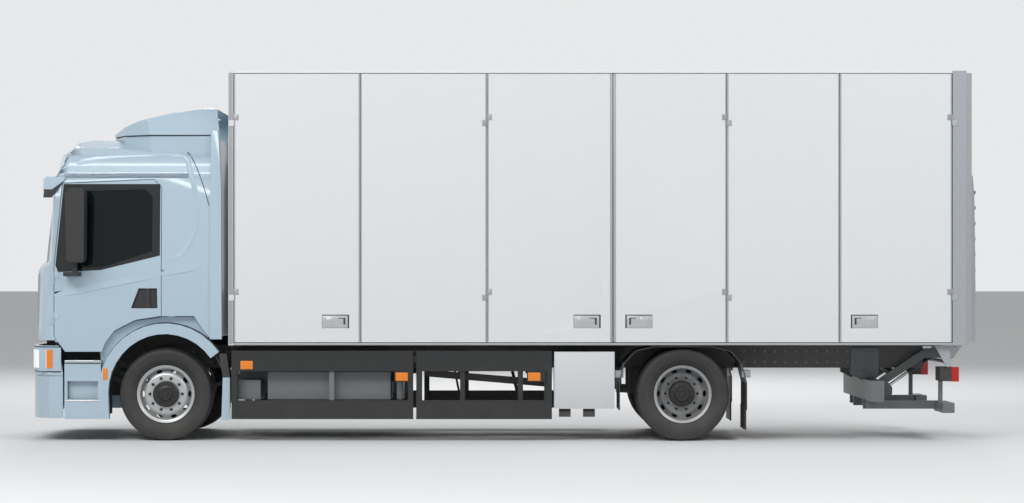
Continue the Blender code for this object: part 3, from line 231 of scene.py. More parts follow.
def add(name, mesh, material, body, stands_for=()):
    """A piece of this scene, which rides on a body and takes the material it is given."""
    piece = bpy.data.objects.new(name, mesh)
    bpy.context.scene.collection.objects.link(piece)
    if material:
        mesh.materials.clear()
        mesh.materials.append(material)
    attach(piece, body)
    if stands_for:
        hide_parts(*stands_for)
    return piece


BODY_OF = {node: body for body, members in frame["record"]["behaviour"]["bodies"].items() for node in members}


def dressed(node, material, edge=0.004, turn=32):
    """A copy of a CAD node with its triangles merged, its edges rounded and its round faces smooth."""
    mesh = bpy.data.meshes.new(node + "_skin")
    work = bmesh.new()
    work.from_mesh(frame["nodes"][node].data)
    bmesh.ops.remove_doubles(work, verts=work.verts, dist=WELD)
    bmesh.ops.dissolve_limit(work, angle_limit=math.radians(FLAT_ANGLE), verts=work.verts, edges=work.edges)
    work.to_mesh(mesh)
    work.free()
    mesh.shade_smooth()
    mesh.set_sharp_from_angle(angle=math.radians(turn))
    piece = add(node + "_skin", mesh, material, BODY_OF[node], (node,))
    if edge:
        bevel = piece.modifiers.new("rounded_edges", "BEVEL")
        bevel.width = edge
        bevel.segments = 2
        bevel.limit_method = "ANGLE"
        bevel.angle_limit = math.radians(turn)
        bevel.harden_normals = True
    return piece


chassis_paint = finish("chassis_paint", CHASSIS_GREY, 0.42, dust=0.5, reach=1.3)
for node in ("chassis_frame", "front_axle", "rear_axle", "knuckle_left", "knuckle_right"):
    dressed(node, chassis_paint, 0.003)


# Tyres
# Black rubber road tyres, the same size all round and in pairs at the rear. The sidewall has a rim guard, two fine
# steps and a ribbed shoulder, and the tread has four grooves round it and blocks cut along its shoulders.
AXLE_HEIGHT = 0.48
FRONT_AXLE_X, REAR_AXLE_X = -3.475, 1.875
FRONT_TYRE_Y, REAR_OUTER_Y, REAR_INNER_Y = 1.02, 1.085, 0.745
TYRE_SIDES = 120
GROOVE_DEPTH = 0.013
SHOULDER_BLOCKS = 84
TYRE_WALL = [(0.0983, 0.2817), (0.0983, 0.2995), (0.112, 0.304), (0.124, 0.318), (0.130, 0.334), (0.136, 0.338),
             (0.143, 0.356), (0.146, 0.358), (0.1495, 0.385), (0.1495, 0.398), (0.147, 0.401), (0.1465, 0.418),
             (0.143, 0.421), (0.140, 0.437), (0.134, 0.452), (0.131, 0.458), (0.120, 0.4665)]
TREAD_GROOVES = (0.030, 0.082)
TREAD_SIDE, TREAD_MIDDLE = 0.4785, 0.4795
BLOCK_HALF, BLOCK_IN, BLOCK_OUT = 0.011, 0.092, 0.136
BLOCK_FOOT, BLOCK_TOP, BLOCK_SLOPED_TOP = 0.455, 0.4755, 0.4655


def turned(profile, centre, side, sides):
    """A closed profile of (distance outwards along the axle, radius) turned about the axle through centre."""
    work = bmesh.new()
    rings = []
    for k in range(sides):
        turn = math.tau * k / sides - math.pi / 2
        rings.append([work.verts.new((centre[0] + r * math.cos(turn), centre[1] + side * out,
                                      centre[2] + r * math.sin(turn))) for out, r in profile])
    for k, ring in enumerate(rings):
        onward = rings[(k + 1) % sides]
        for i in range(len(profile)):
            j = (i + 1) % len(profile)
            if profile[i][1] or profile[j][1]:
                work.faces.new((ring[i], ring[j], onward[j], onward[i]))
    bmesh.ops.remove_doubles(work, verts=work.verts, dist=0.00001)
    bmesh.ops.recalc_face_normals(work, faces=work.faces)
    return work


def mesh_of(name, work, turn=30):
    """The finished mesh, smooth but for edges sharper than turn."""
    mesh = bpy.data.meshes.new(name)
    work.to_mesh(mesh)
    work.free()
    mesh.shade_smooth()
    mesh.set_sharp_from_angle(angle=math.radians(turn))
    return mesh


def laid(name, work, material, body):
    """A piece of this scene from the mesh that was being made."""
    return add(name, mesh_of(name, work), material, body)


def brick(work, low, high):
    """A box between two corners, in the mesh that is being made."""
    made = bmesh.ops.create_cube(work, size=1)["verts"]
    for corner in made:
        corner.co = Vector([a + (b - a) * (c + 0.5) for a, b, c in zip(low, high, corner.co)])
    return made


def round_axle_tree():
    """Geometry nodes that set an item out round an axle and give it a material."""
    tree = bpy.data.node_groups.new("set_round_an_axle", "GeometryNodeTree")
    for name, kind in (("Item", "Geometry"), ("Count", "Int"), ("Start", "Vector"), ("Step", "Vector"),
                       ("Material", "Material")):
        tree.interface.new_socket(name=name, in_out="INPUT", socket_type="NodeSocket" + kind)
    tree.interface.new_socket(name="Items", in_out="OUTPUT", socket_type="NodeSocketGeometry")
    make, link = tree.nodes.new, tree.links.new
    given, sent = make("NodeGroupInput"), make("NodeGroupOutput")
    number, along = make("GeometryNodeInputIndex"), make("ShaderNodeVectorMath")
    along.operation = "SCALE"
    link(given.outputs["Step"], along.inputs[0])
    link(number.outputs[0], along.inputs["Scale"])
    points, copies = make("GeometryNodePoints"), make("GeometryNodeInstanceOnPoints")
    link(given.outputs["Count"], points.inputs["Count"])
    link(points.outputs[0], copies.inputs["Points"])
    link(given.outputs["Item"], copies.inputs["Instance"])
    link(given.outputs["Start"], points.inputs["Position"])
    link(along.outputs[0], copies.inputs["Rotation"])
    real, coated = make("GeometryNodeRealizeInstances"), make("GeometryNodeSetMaterial")
    link(copies.outputs[0], real.inputs[0])
    link(real.outputs[0], coated.inputs["Geometry"])
    link(given.outputs["Material"], coated.inputs["Material"])
    link(coated.outputs[0], sent.inputs["Items"])
    return tree


ROUND_AXLE = round_axle_tree()


def repeated(item, count, start, step, material):
    """The plain mesh of an item modelled at the origin and set out round an axle."""
    seed = bpy.data.objects.new("seed_item", item)
    bpy.context.scene.collection.objects.link(seed)
    modifier = seed.modifiers.new("repeat", "NODES")
    modifier.node_group = ROUND_AXLE
    values = {"Count": count, "Start": start, "Step": step, "Material": material}
    for socket in ROUND_AXLE.interface.items_tree:
        if socket.in_out == "INPUT" and socket.name in values:
            modifier[socket.identifier] = values[socket.name]
    graph = bpy.context.evaluated_depsgraph_get()
    made = bpy.data.meshes.new_from_object(seed.evaluated_get(graph))
    bpy.data.objects.remove(seed)
    return made


def merged(name, meshes, turn=30):
    """Several meshes as one, which keeps each one's place."""
    work = bmesh.new()
    for mesh in meshes:
        work.from_mesh(mesh)
    return mesh_of(name, work, turn)


def tread_profile():
    """Half a tyre's wall and tread, from the bead to the middle, with the grooves cut in."""
    half = list(TYRE_WALL)
    for groove in TREAD_GROOVES[::-1]:
        half += [(groove + 0.006, TREAD_SIDE), (groove + 0.004, TREAD_SIDE - GROOVE_DEPTH),
                 (groove - 0.004, TREAD_SIDE - GROOVE_DEPTH), (groove - 0.006, TREAD_MIDDLE)]
    return half + [(-out, r) for out, r in half[::-1]]


rubber = finish("tyre_rubber", (0.014, 0.014, 0.015), 0.62, dust=0.22, reach=0.9, grain=(220, 0.0005))
work = bmesh.new()
for side in (-1, 1):
    near, far = sorted((side * BLOCK_IN, side * BLOCK_OUT))
    brick(work, (-BLOCK_HALF, near, BLOCK_FOOT), (BLOCK_HALF, far, BLOCK_TOP))
shoulder_block = mesh_of("shoulder_block", work)
for corner in shoulder_block.vertices:
    if corner.co.z > 0.47 and abs(corner.co.y) > 0.12:
        corner.co.z = BLOCK_SLOPED_TOP
for end, x, rows in (("front", FRONT_AXLE_X, {"": FRONT_TYRE_Y}),
                     ("rear", REAR_AXLE_X, {"_outer": REAR_OUTER_Y, "_inner": REAR_INNER_Y})):
    for row, out in rows.items():
        for name, side in SIDES:
            centre = (x, side * out, AXLE_HEIGHT)
            ring = mesh_of("tyre_ring", turned(tread_profile(), centre, side, TYRE_SIDES), 24)
            step = (0, math.tau / SHOULDER_BLOCKS, 0)
            blocks = repeated(shoulder_block, SHOULDER_BLOCKS, centre, step, rubber)
            node = f"{end}_tyre{row}_{name}"
            body = f"front_wheel_{name}" if end == "front" else f"rear_wheels_{name}"
            add(node + "_rubber", merged(node + "_rubber", (ring, blocks)), rubber, body, (node,))


# Rims and hubs
# Steel rims: silver with a bulged disc in front, grey and deep-dished in pairs at the rear. Ten oval hand holes
# and ten nut holes go round each disc, and a dark hub with its own ring of screws stands out of the middle.
HAND_HOLES, NUTS, HUB_SCREWS = 10, 10, 12
NUT_CIRCLE, HAND_CIRCLE, HUB_CIRCLE = 0.1675, 0.240, 0.108
RIM_SIDES = 96
FRONT_RIM = [(0.082, 0.0), (0.082, 0.136), (0.086, 0.196), (0.082, 0.212), (0.062, 0.232), (0.034, 0.252),
             (0.030, 0.262), (0.070, 0.2655), (0.100, 0.268), (0.106, 0.281), (0.112, 0.2905), (0.1150, 0.2955),
             (0.1145, 0.2985), (0.0990, 0.2980), (0.0985, 0.2815), (0.060, 0.2800), (-0.0985, 0.2800),
             (-0.0990, 0.2980), (-0.115, 0.2980), (-0.112, 0.285), (-0.098, 0.268), (0.000, 0.262), (0.020, 0.250),
             (0.050, 0.226), (0.072, 0.205), (0.070, 0.0)]
FRONT_HUB = [(0.145, 0.0), (0.145, 0.030), (0.139, 0.034), (0.139, 0.062), (0.128, 0.070), (0.122, 0.084),
             (0.122, 0.122), (0.114, 0.134), (0.080, 0.137), (0.075, 0.10), (0.075, 0.0)]
REAR_RIM = [(-0.120, 0.0), (-0.120, 0.205), (-0.112, 0.222), (-0.075, 0.252), (-0.050, 0.262), (0.060, 0.2655),
            (0.088, 0.266), (0.098, 0.270), (0.106, 0.281), (0.112, 0.2905), (0.1150, 0.2955), (0.1145, 0.2985),
            (0.0990, 0.2980), (0.0985, 0.2815), (-0.0985, 0.2815), (-0.0990, 0.2980), (-0.115, 0.2985),
            (-0.115, 0.270), (-0.130, 0.262), (-0.1300, 0.0)]
REAR_HUB = [(0.060, 0.0), (0.060, 0.026), (0.066, 0.028), (0.066, 0.038), (0.058, 0.041), (0.056, 0.072),
            (0.030, 0.080), (0.020, 0.122), (0.008, 0.132), (-0.110, 0.134), (-0.125, 0.10), (-0.125, 0.0)]
INNER_RIM = [(-0.120, 0.0), (-0.120, 0.22), (-0.10, 0.262), (0.098, 0.268), (0.115, 0.2955), (0.1145, 0.2985),
             (0.0990, 0.2980), (0.0985, 0.2815), (-0.0985, 0.2815), (-0.0990, 0.2980), (-0.115, 0.2985),
             (-0.120, 0.270), (-0.140, 0.24), (-0.140, 0.0)]
SCREW_HEAD = 0.009


def prong(radius, near, far, circle, across=1.0, sides=12):
    """A round or oval stub along the axle, between two distances out, standing on a circle above the axle."""
    work = bmesh.new()
    for out in (near, far):
        ring = [work.verts.new((radius * across * math.cos(math.tau * k / sides), out,
                                circle + radius * math.sin(math.tau * k / sides))) for k in range(sides)]
        work.faces.new(ring)
    work.verts.ensure_lookup_table()
    for k in range(sides):
        j = (k + 1) % sides
        work.faces.new((work.verts[k], work.verts[j], work.verts[sides + j], work.verts[sides + k]))
    bmesh.ops.recalc_face_normals(work, faces=work.faces)
    return mesh_of("stub", work)


def carved(mesh, cutter):
    """A mesh with another one's shape taken out of it."""
    whole, tool = bpy.data.objects.new("whole", mesh), bpy.data.objects.new("tool", cutter)
    for thing in (whole, tool):
        bpy.context.scene.collection.objects.link(thing)
    cutting = whole.modifiers.new("cut", "BOOLEAN")
    cutting.object, cutting.operation, cutting.solver = tool, "DIFFERENCE", "EXACT"
    graph = bpy.context.evaluated_depsgraph_get()
    made = bpy.data.meshes.new_from_object(whole.evaluated_get(graph))
    bpy.data.objects.remove(whole)
    bpy.data.objects.remove(tool)
    made.shade_smooth()
    made.set_sharp_from_angle(angle=math.radians(35))
    return made


def round_stubs(centre, side, count, stub, material=None):
    """Stubs set round an axle, turned half a step so that none stands straight up."""
    made = repeated(stub, count, (0, 0, 0), (0, math.tau / count, 0), material)
    half_step = Matrix.Rotation(math.pi / count, 4, "Y")
    made.transform(Matrix.Translation(centre) @ half_step @ Matrix.Diagonal((1, side, 1, 1)))
    if side < 0:
        made.flip_normals()
    return made


rim_silver = finish("rim_silver", (0.47, 0.485, 0.49), 0.34, metal=0.55, dust=0.3, reach=1.0, drift=0.04)
rim_grey = finish("rim_grey", (0.36, 0.37, 0.38), 0.42, metal=0.5, dust=0.45, reach=1.0)
hub_black = finish("hub_black", (0.012, 0.0125, 0.0135), 0.36, metal=0.2, dust=0.12, reach=1.0)
for name, side in SIDES:
    for end, x, out, rim, hub, seat, paint, slot in (
            ("front", FRONT_AXLE_X, FRONT_TYRE_Y, FRONT_RIM, FRONT_HUB, 0.082, rim_silver, "rim_silver"),
            ("rear", REAR_AXLE_X, REAR_OUTER_Y, REAR_RIM, REAR_HUB, -0.120, rim_grey, "rim_grey")):
        centre = (x, side * out, AXLE_HEIGHT)
        body = f"front_wheel_{name}" if end == "front" else f"rear_wheels_{name}"
        disc = mesh_of("disc", turned(rim, centre, side, RIM_SIDES))
        hand = prong(0.017, -0.2, 0.2, HAND_CIRCLE, across=1.9, sides=20)
        disc = carved(disc, round_stubs(centre, side, HAND_HOLES, hand))
        nut_hole = prong(0.0185, seat - 0.006, seat + 0.03, NUT_CIRCLE, sides=18)
        disc = carved(disc, round_stubs(centre, side, NUTS, nut_hole))
        if end == "rear":
            inner = mesh_of("inner", turned(INNER_RIM, (x, side * REAR_INNER_Y, AXLE_HEIGHT), side, 48))
            disc = merged("discs", (disc, inner))
        node = f"front_rim_{name}" if end == "front" else f"rear_rims_{name}"
        disc.name = node + "_steel"
        add(node + "_steel", disc, paint, body, (node,))
        middle = mesh_of("middle", turned(hub, centre, side, 48))
        head_out = max(distance for distance, radius in hub if radius > HUB_CIRCLE - 0.03)
        screw = prong(0.010, head_out - 0.01, head_out + SCREW_HEAD, HUB_CIRCLE, sides=6)
        heads = round_stubs(centre, side, HUB_SCREWS, screw)
        nuts = round_stubs(centre, side, NUTS, prong(0.0145, seat - 0.006, seat + 0.010, NUT_CIRCLE, sides=6))
        add(f"{end}_hub_{name}", merged("hub", (middle, heads, nuts)), hub_black, body)


# Box body
# A box of coated sandwich panels in aluminium profiles: floor, front wall, roof and rear frame are fixed, and each
# side folds open in two runs of three leaves. Aluminium strips edge the leaves, and each run has two flush locks.
PANEL_WHITE = (0.66, 0.68, 0.695)
SEAM_GREY = (0.34, 0.35, 0.365)
SIDE_FACE = 1.265
EDGE_STRIP = 0.009
STRIP_PROUD = 0.0008
MEETING_LIP = 0.0135
ABOVE_HINGES = 3.7
LOCK_FROM_EDGE, LOCK_SUNK = 0.25, 0.009
LOCK_HALF, LOCK_LOW, LOCK_TOP = 0.139, 1.166, 1.304
FRONT_POST = (-2.811, -2.766)

panel_white = finish("panel_white", PANEL_WHITE, 0.40, dust=0.06, reach=2.2, drift=0.012, grain=(35, 0.0002))
aluminium = finish("aluminium", (0.42, 0.435, 0.45), 0.36, metal=0.75, dust=0.25, reach=1.3, drift=0.05,
                   grain=(160, 0.0001))
seam_grey = finish("seam_grey", SEAM_GREY, 0.45, metal=0.4, dust=0.15, reach=1.5)
# Near black for the dark seams, and for the painted shade in the sunk side locks.
seam_and_shade_black = finish("seam_and_shade_black", (0.018, 0.018, 0.020), 0.7, dust=0.2)
lock_metal = finish("lock_metal", (0.55, 0.56, 0.57), 0.28, metal=0.9, dust=0.1, drift=0.03, grain=(200, 0.0001))


def plate(work, x0, x1, z0, z1, face, way, thick, bevel=0.0):
    """A plate on a side face, standing out by its thickness."""
    low, high = sorted((face - way * 0.004, face + way * thick))
    made = brick(work, (x0, low, z0), (x1, high, z1))
    if bevel:
        edges = {edge for corner in made for edge in corner.link_edges}
        bmesh.ops.bevel(work, geom=list(edges), offset=bevel, segments=2, affect="EDGES", profile=0.5)


def panel_ends(node):
    """The ends of a leaf's panel along the truck, read above its hinges."""
    along = [corner.co.x for corner in frame["nodes"][node].data.vertices if corner.co.z > ABOVE_HINGES]
    return min(along), max(along)


def side_lock(node, centre, seam, way):
    """A flush lock: a bright plate with a grip pad and a finger hole, and dark plates on its seam side, along the top
    and at the finger hole that are painted shade in the recess.
    """
    bright, dark = bmesh.new(), bmesh.new()
    deep = SIDE_FACE * way - way * LOCK_SUNK
    upper = deep + way * 0.004
    far, near = sorted((centre - seam * LOCK_HALF, centre + seam * LOCK_HALF))
    plate(bright, far + 0.004, near - 0.004, LOCK_LOW + 0.004, LOCK_TOP - 0.004, deep, way, 0.004, 0.0015)
    pad = centre - seam * 0.055
    plate(bright, pad - 0.042, pad + 0.042, LOCK_LOW + 0.028, LOCK_TOP - 0.030, upper, way, 0.0035, 0.003)
    edge = centre + seam * (LOCK_HALF - 0.006)
    # Painted shade: dark plates down the seam side and along the top of the sunk lock, and at its finger hole.
    plate(dark, edge - 0.006, edge + 0.006, LOCK_LOW, LOCK_TOP, deep, way, 0.0085)
    plate(dark, far, near, LOCK_TOP - 0.007, LOCK_TOP, deep, way, 0.0080)
    cup = centre + seam * 0.062
    bar = cup + seam * 0.028
    plate(dark, bar - 0.009, bar + 0.009, LOCK_LOW + 0.036, LOCK_TOP - 0.032, upper, way, 0.002)
    plate(dark, cup - 0.036, cup + 0.030, LOCK_TOP - 0.040, LOCK_TOP - 0.033, upper, way, 0.002, 0.002)
    laid(node + "_lock", bright, lock_metal, node)
    laid(node + "_lock_shade", dark, seam_and_shade_black, node)


for run, onward in (("front", 1), ("rear", -1)):
    for place in (1, 2, 3):
        for name, way in SIDES:
            node = f"side_leaf_{run}_{place}_{name}"
            skin = dressed(node, panel_white, 0.0015)
            skin.data.materials.append(seam_grey)
            x0, x1 = panel_ends(node)
            for face in skin.data.polygons:
                spot = face.center
                on_panel = x0 + 0.001 < spot.x < x1 - 0.001 and abs(spot.y) < SIDE_FACE + 0.0005
                if spot.z < ABOVE_HINGES and not on_panel:
                    face.material_index = 1
            low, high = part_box(node)
            work = bmesh.new()
            for x in ((x0 + 0.004, x0 + 0.004 + EDGE_STRIP), (x1 - 0.004 - EDGE_STRIP, x1 - 0.004)):
                plate(work, *x, low.z + 0.002, high.z - 0.002, SIDE_FACE * way, way, STRIP_PROUD)
            if place == 3:
                free = x1 if onward > 0 else x0
                lip = sorted((free - onward * 0.006, free + onward * MEETING_LIP))
                plate(work, *lip, low.z + 0.002, high.z - 0.002, way * (SIDE_FACE - 0.012), way, 0.009, 0.001)
            laid(node + "_strips", work, seam_grey, node)
            if place != 2:
                centre = x1 - LOCK_FROM_EDGE if onward > 0 else x0 + LOCK_FROM_EDGE
                side_lock(node, centre, onward, way)

work = bmesh.new()
for _, way in SIDES:
    plate(work, *FRONT_POST, 1.0, 3.80, way * SIDE_FACE, way, STRIP_PROUD)
laid("front_post_faces", work, seam_grey, "truck")


# Cab
# Blue paint over the shell, doors, lid and fairings, and dark glass with the cab's room behind it.
# Its lines, seams and trim are laid on the side walls, which lean in above the belt line.
CAB_BLUE = (0.385, 0.50, 0.585)
SIDE_LINE = [(0.0, 1.22), (1.80, 1.22), (2.72, 1.17), (2.95, 1.13), (3.08, 1.04), (3.15, 0.84)]
BELT_AND_EAVES = [z for z, _ in SIDE_LINE[1:]]
DOOR_WINDOW = [(-1.00, 1.90), (-0.955, 2.58), (-0.20, 2.60), (-0.13, 2.52), (-0.13, 1.96), (-0.62, 1.80),
               (-0.93, 1.78)]
GRIP_CUP = [(-0.267, 1.573), (-0.083, 1.573), (-0.078, 1.373), (-0.343, 1.373)]
ARCH_END_LEVEL = 0.655
ARCH_CENTRE_Z = 0.50
SURROUND = [(-1.128, 1.815), (-1.05, 2.655), (-0.050, 2.655), (-0.050, 1.915), (-0.66, 1.765), (-1.10, 1.745)]

cab_paint = finish("cab_paint", CAB_BLUE, 0.30, dust=0.10, reach=1.5, drift=0.012, grain=(45, 0.0001), coat=0.6)
glazing_black = finish("glazing_black", (0.012, 0.012, 0.013), 0.12, dust=0.0, drift=0.02, grain=(80, 0.00002))
soft_black = finish("soft_black", (0.020, 0.020, 0.021), 0.55, dust=0.15, reach=1.4)
trim_grey = finish("trim_grey", (0.10, 0.10, 0.105), 0.7, dust=0.0)


def clear(name, colour, share, gloss=0.05, glow=0.0):
    """A see-through surface that lets part of what is behind it show."""
    made = finish(name, colour, gloss, dust=0.0, drift=0.0, grain=(30, 0.00001))
    shader = made.node_tree.nodes["Principled BSDF"]
    shader.inputs["Alpha"].default_value = share
    if glow:
        shader.inputs["Emission Color"].default_value = (*colour, 1)
        shader.inputs["Emission Strength"].default_value = glow
    return made


tinted_glass = clear("tinted_glass", (0.004, 0.007, 0.008), 0.93)
tinted_glass.node_tree.nodes["Principled BSDF"].inputs["Specular IOR Level"].default_value = 0.25
# The amber lens glows a little. On the lamps that is lamp light, but on the arch reflectors the glow is painted light.
amber_lens = clear("amber_lens", (0.72, 0.21, 0.02), 0.92, 0.2, 0.15)
red_lens = clear("red_lens", (0.40, 0.012, 0.010), 0.94, 0.2, 0.05)
white_lens = clear("white_lens", (0.78, 0.81, 0.84), 0.95, 0.12, 0.45)


def wall_y(z):
    """How far out the cab's side wall stands at a height."""
    for (z0, y0), (z1, y1) in zip(SIDE_LINE, SIDE_LINE[1:]):
        if z <= z1:
            return y0 + (y1 - y0) * (z - z0) / (z1 - z0)
    return SIDE_LINE[-1][1]


def cut_across(work, spot, facing):
    """Puts an edge into every face that crosses a plane."""
    parts = [*work.verts, *work.edges, *work.faces]
    bmesh.ops.bisect_plane(work, geom=parts, plane_co=spot, plane_no=facing)


def wall_plate(outline, way, proud, hole=None, deep=0.002):
    """A plate over the cab's side wall: an outline (x, z), standing out by proud."""
    work = bmesh.new()
    rim = [work.verts.new((x + FRONT_AXLE_X, 0, z)) for x, z in outline]
    if hole:
        inner = [work.verts.new((x + FRONT_AXLE_X, 0, z)) for x, z in hole]
        edges = []
        for ring in (rim, inner):
            edges += [work.edges.new((ring[i - 1], ring[i])) for i in range(len(ring))]
        bmesh.ops.triangle_fill(work, edges=edges, use_beauty=True)
    else:
        work.faces.new(rim)
    for z in BELT_AND_EAVES:
        cut_across(work, (0, 0, z), (0, 0, 1))
    made = bmesh.ops.extrude_face_region(work, geom=work.faces[:])["geom"]
    outer = {part for part in made if isinstance(part, bmesh.types.BMVert)}
    for corner in work.verts:
        corner.co.y = way * (wall_y(corner.co.z) + (proud if corner in outer else -deep))
    bmesh.ops.recalc_face_normals(work, faces=work.faces)
    return work


FLAT_STRIP = [(-0.5, -1), (-0.5, 1), (0.5, 1), (0.5, -1)]
FOLD = [(0, -1), (0, 0.2), (0.08, 1), (0.35, 0.75), (0.7, 0.3), (1.0, 0), (1.0, -1)]
RIDGE = [(-0.5, -1), (-0.5, 0), (-0.3, 0.6), (0, 1), (0.3, 0.6), (0.5, 0), (0.5, -1)]
ROOT = 0.002


def line(points, wide, way, proud, steps=1, profile=FLAT_STRIP):
    """A strip, fold or ridge along points (x, z) on the side wall. A fold or ridge fades out at its ends."""
    work = bmesh.new()
    path = smooth_path(points, steps)
    rows = []
    for i, (x, z) in enumerate(path):
        ahead, behind = path[min(i + 1, len(path) - 1)], path[max(i - 1, 0)]
        along = Vector((ahead[0] - behind[0], ahead[1] - behind[1])).normalized()
        across = Vector((-along.y, along.x))
        if profile is not RIDGE and (across.y < 0 or (abs(across.y) < 0.01 and across.x < 0)):
            across = -across
        to_end = 4 * min(i, len(path) - 1 - i) / max(1, len(path) - 1)
        grow = 1 if profile is FLAT_STRIP else min(1, to_end)
        row = []
        for share, rise in profile:
            spot = (x + across.x * share * wide, z + across.y * share * wide)
            out = wall_y(spot[1]) + (rise * proud * grow if rise >= 0 else -ROOT)
            row.append(work.verts.new((spot[0] + FRONT_AXLE_X, way * out, spot[1])))
        rows.append(row)
    for first, second in zip(rows, rows[1:]):
        for j in range(len(first)):
            k = (j + 1) % len(first)
            work.faces.new((first[j], first[k], second[k], second[j]))
    for row in (rows[0], rows[-1]):
        work.faces.new(row)
    bmesh.ops.recalc_face_normals(work, faces=work.faces)
    return work


def smooth_path(points, steps):
    """The points with a rounded course between them."""
    if steps == 1:
        return points
    path = []
    for i in range(len(points) - 1):
        before, here = Vector(points[max(i - 1, 0)]), Vector(points[i])
        there, after = Vector(points[i + 1]), Vector(points[min(i + 2, len(points) - 1)])
        for j in range(steps):
            t = j / steps
            spot = 0.5 * (
                2 * here + (there - before) * t + (2 * before - 5 * here + 4 * there - after) * t ** 2
                + (3 * here - before - 3 * there + after) * t ** 3
            )
            path.append(tuple(spot))
    return path + [points[-1]]


def split_skin(piece, material, inside, level=None):
    """Gives the faces for which inside(centre) is true another material, with the mesh cut at a level first."""
    if level:
        work = bmesh.new()
        work.from_mesh(piece.data)
        cut_across(work, (0, 0, level), (0, 0, 1))
        work.to_mesh(piece.data)
        work.free()
    piece.data.materials.append(material)
    for face in piece.data.polygons:
        if inside(face.center):
            face.material_index = 1


SWEEP = [(1.76, 0.0), (1.86, 0.105), (2.48, 0.155), (2.95, 0.185), (3.3, 0.20)]
SWEEP_POWER = 1.35
CROWN, CROWN_FROM, CROWN_FULL = 0.03, 2.96, 0.12
SWEEP_BACK, SWEEP_FADE = -1.145, 0.19
CUTS_Y = (0.15, 0.4, 0.6, 0.78, 0.92, 1.03, 1.10, 1.16)
CUTS_Z = (1.78, 1.82, 1.86, 2.1, 2.3, 2.5, 2.72, 2.84, 2.95, 3.02, 3.08)
CUTS_X = (-1.30, -1.24, -1.19, -1.145, -1.0, -0.85)


def between(table, value):
    """The table's value at a point along it, held at its ends."""
    for (a, low), (b, high) in zip(table, table[1:]):
        if value <= b:
            return low + (high - low) * max(0.0, value - a) / (b - a)
    return table[-1][1]


def swept(piece, crown=0.0):
    """Rounds the cab's front off towards its sides above the belt line, and its roof towards its eaves."""
    work = bmesh.new()
    work.from_mesh(piece.data)
    planes = [((0, way * y, 0), (0, 1, 0)) for y in CUTS_Y for way in (-1, 1)]
    planes += [((0, 0, z), (0, 0, 1)) for z in CUTS_Z]
    planes += [((FRONT_AXLE_X + x, 0, 0), (1, 0, 0)) for x in CUTS_X]
    for spot, facing in planes:
        cut_across(work, spot, facing)
    for corner in work.verts:
        x, y, z = corner.co.x - FRONT_AXLE_X, abs(corner.co.y), corner.co.z
        back = SWEEP_BACK + 0.5 * max(0.0, z - 2.70)
        share = min(1.0, max(0.0, (back - x) / SWEEP_FADE))
        corner.co.x += between(SWEEP, z) * y ** SWEEP_POWER * share
        if z > CROWN_FROM:
            corner.co.z -= crown * (y / SIDE_LINE[-1][1]) ** 2 * min(1.0, (z - CROWN_FROM) / CROWN_FULL)
    work.to_mesh(piece.data)
    work.free()
    return piece


swept(dressed("cab_shell", cab_paint, 0.0), CROWN)
for node in ("front_panel", "wind_deflector"):
    dressed(node, cab_paint, 0.003)
dressed("cab_interior", trim_grey, 0.006)
swept(dressed("windscreen", tinted_glass, 0.0))
visor = swept(dressed("sun_visor", cab_paint, 0.0))
split_skin(visor, soft_black, lambda spot: spot.z < 2.63)
dressed("front_bumper", cab_paint, 0.006)

for name, way in SIDES:
    door, glass, mirror, arch = (f"{kind}_{name}" for kind in ("cab_door", "door_glass", "mirror", "front_arch"))
    skin = dressed(door, cab_paint, 0.003)
    split_skin(skin, soft_black, lambda spot: 1.36 < spot.z < 1.58 and abs(spot.y) < 1.2185
               and -0.36 < spot.x - FRONT_AXLE_X < -0.07)
    dressed(glass, tinted_glass, 0.0)
    dressed(mirror, soft_black, 0.012)
    skin = dressed(arch, cab_paint, 0.004)
    split_skin(skin, soft_black, lambda spot: abs(spot.y) < 1.145
               or (spot.x > FRONT_AXLE_X + 0.54 and spot.z > ARCH_END_LEVEL), ARCH_END_LEVEL)
    surround = wall_plate(SURROUND, way, 0.0012, DOOR_WINDOW)
    laid(door + "_surround", surround, glazing_black, door)
    laid(door + "_grip_cup", wall_plate(GRIP_CUP, way, -0.024, deep=0.029), soft_black, door)
    crease = line([(-1.135, 1.468), (-0.60, 1.578), (-0.045, 1.690)], 0.07, way, 0.006, 4, profile=FOLD)
    laid(door + "_crease", crease, cab_paint, door)
    crease = line([(-0.032, 1.692), (0.20, 1.737), (0.36, 1.770)], 0.07, way, 0.005, 4, profile=FOLD)
    laid(f"cab_crease_{name}", crease, cab_paint, "cab")
    rain = line([(-1.05, 2.716), (0.24, 2.716)], 0.05, way, 0.009, 1, profile=FOLD)
    laid(f"drip_rail_{name}", rain, cab_paint, "cab")


NOSE_STEPS, ARCH_STEPS = 90, 24


def nose_ring(half, front, corner, power):
    """The rounded nose in plan from the middle to the side, as (x, y)."""
    turns = [math.pi / 2 * i / NOSE_STEPS for i in range(NOSE_STEPS + 1)]
    bend = 2 / power
    return [(front + corner * (1 - max(0.0, math.cos(t)) ** bend), half * math.sin(t) ** bend) for t in turns]


BUMPER_PLAN = nose_ring(1.235, -1.46, 0.42, 3.0)
LAMP_HEIGHT = (0.752, 0.940)
FAIRING_FOOT = [(-0.60, 0.52), (-0.44, 0.915), (-0.15, 1.095), (0.46, 1.10)]


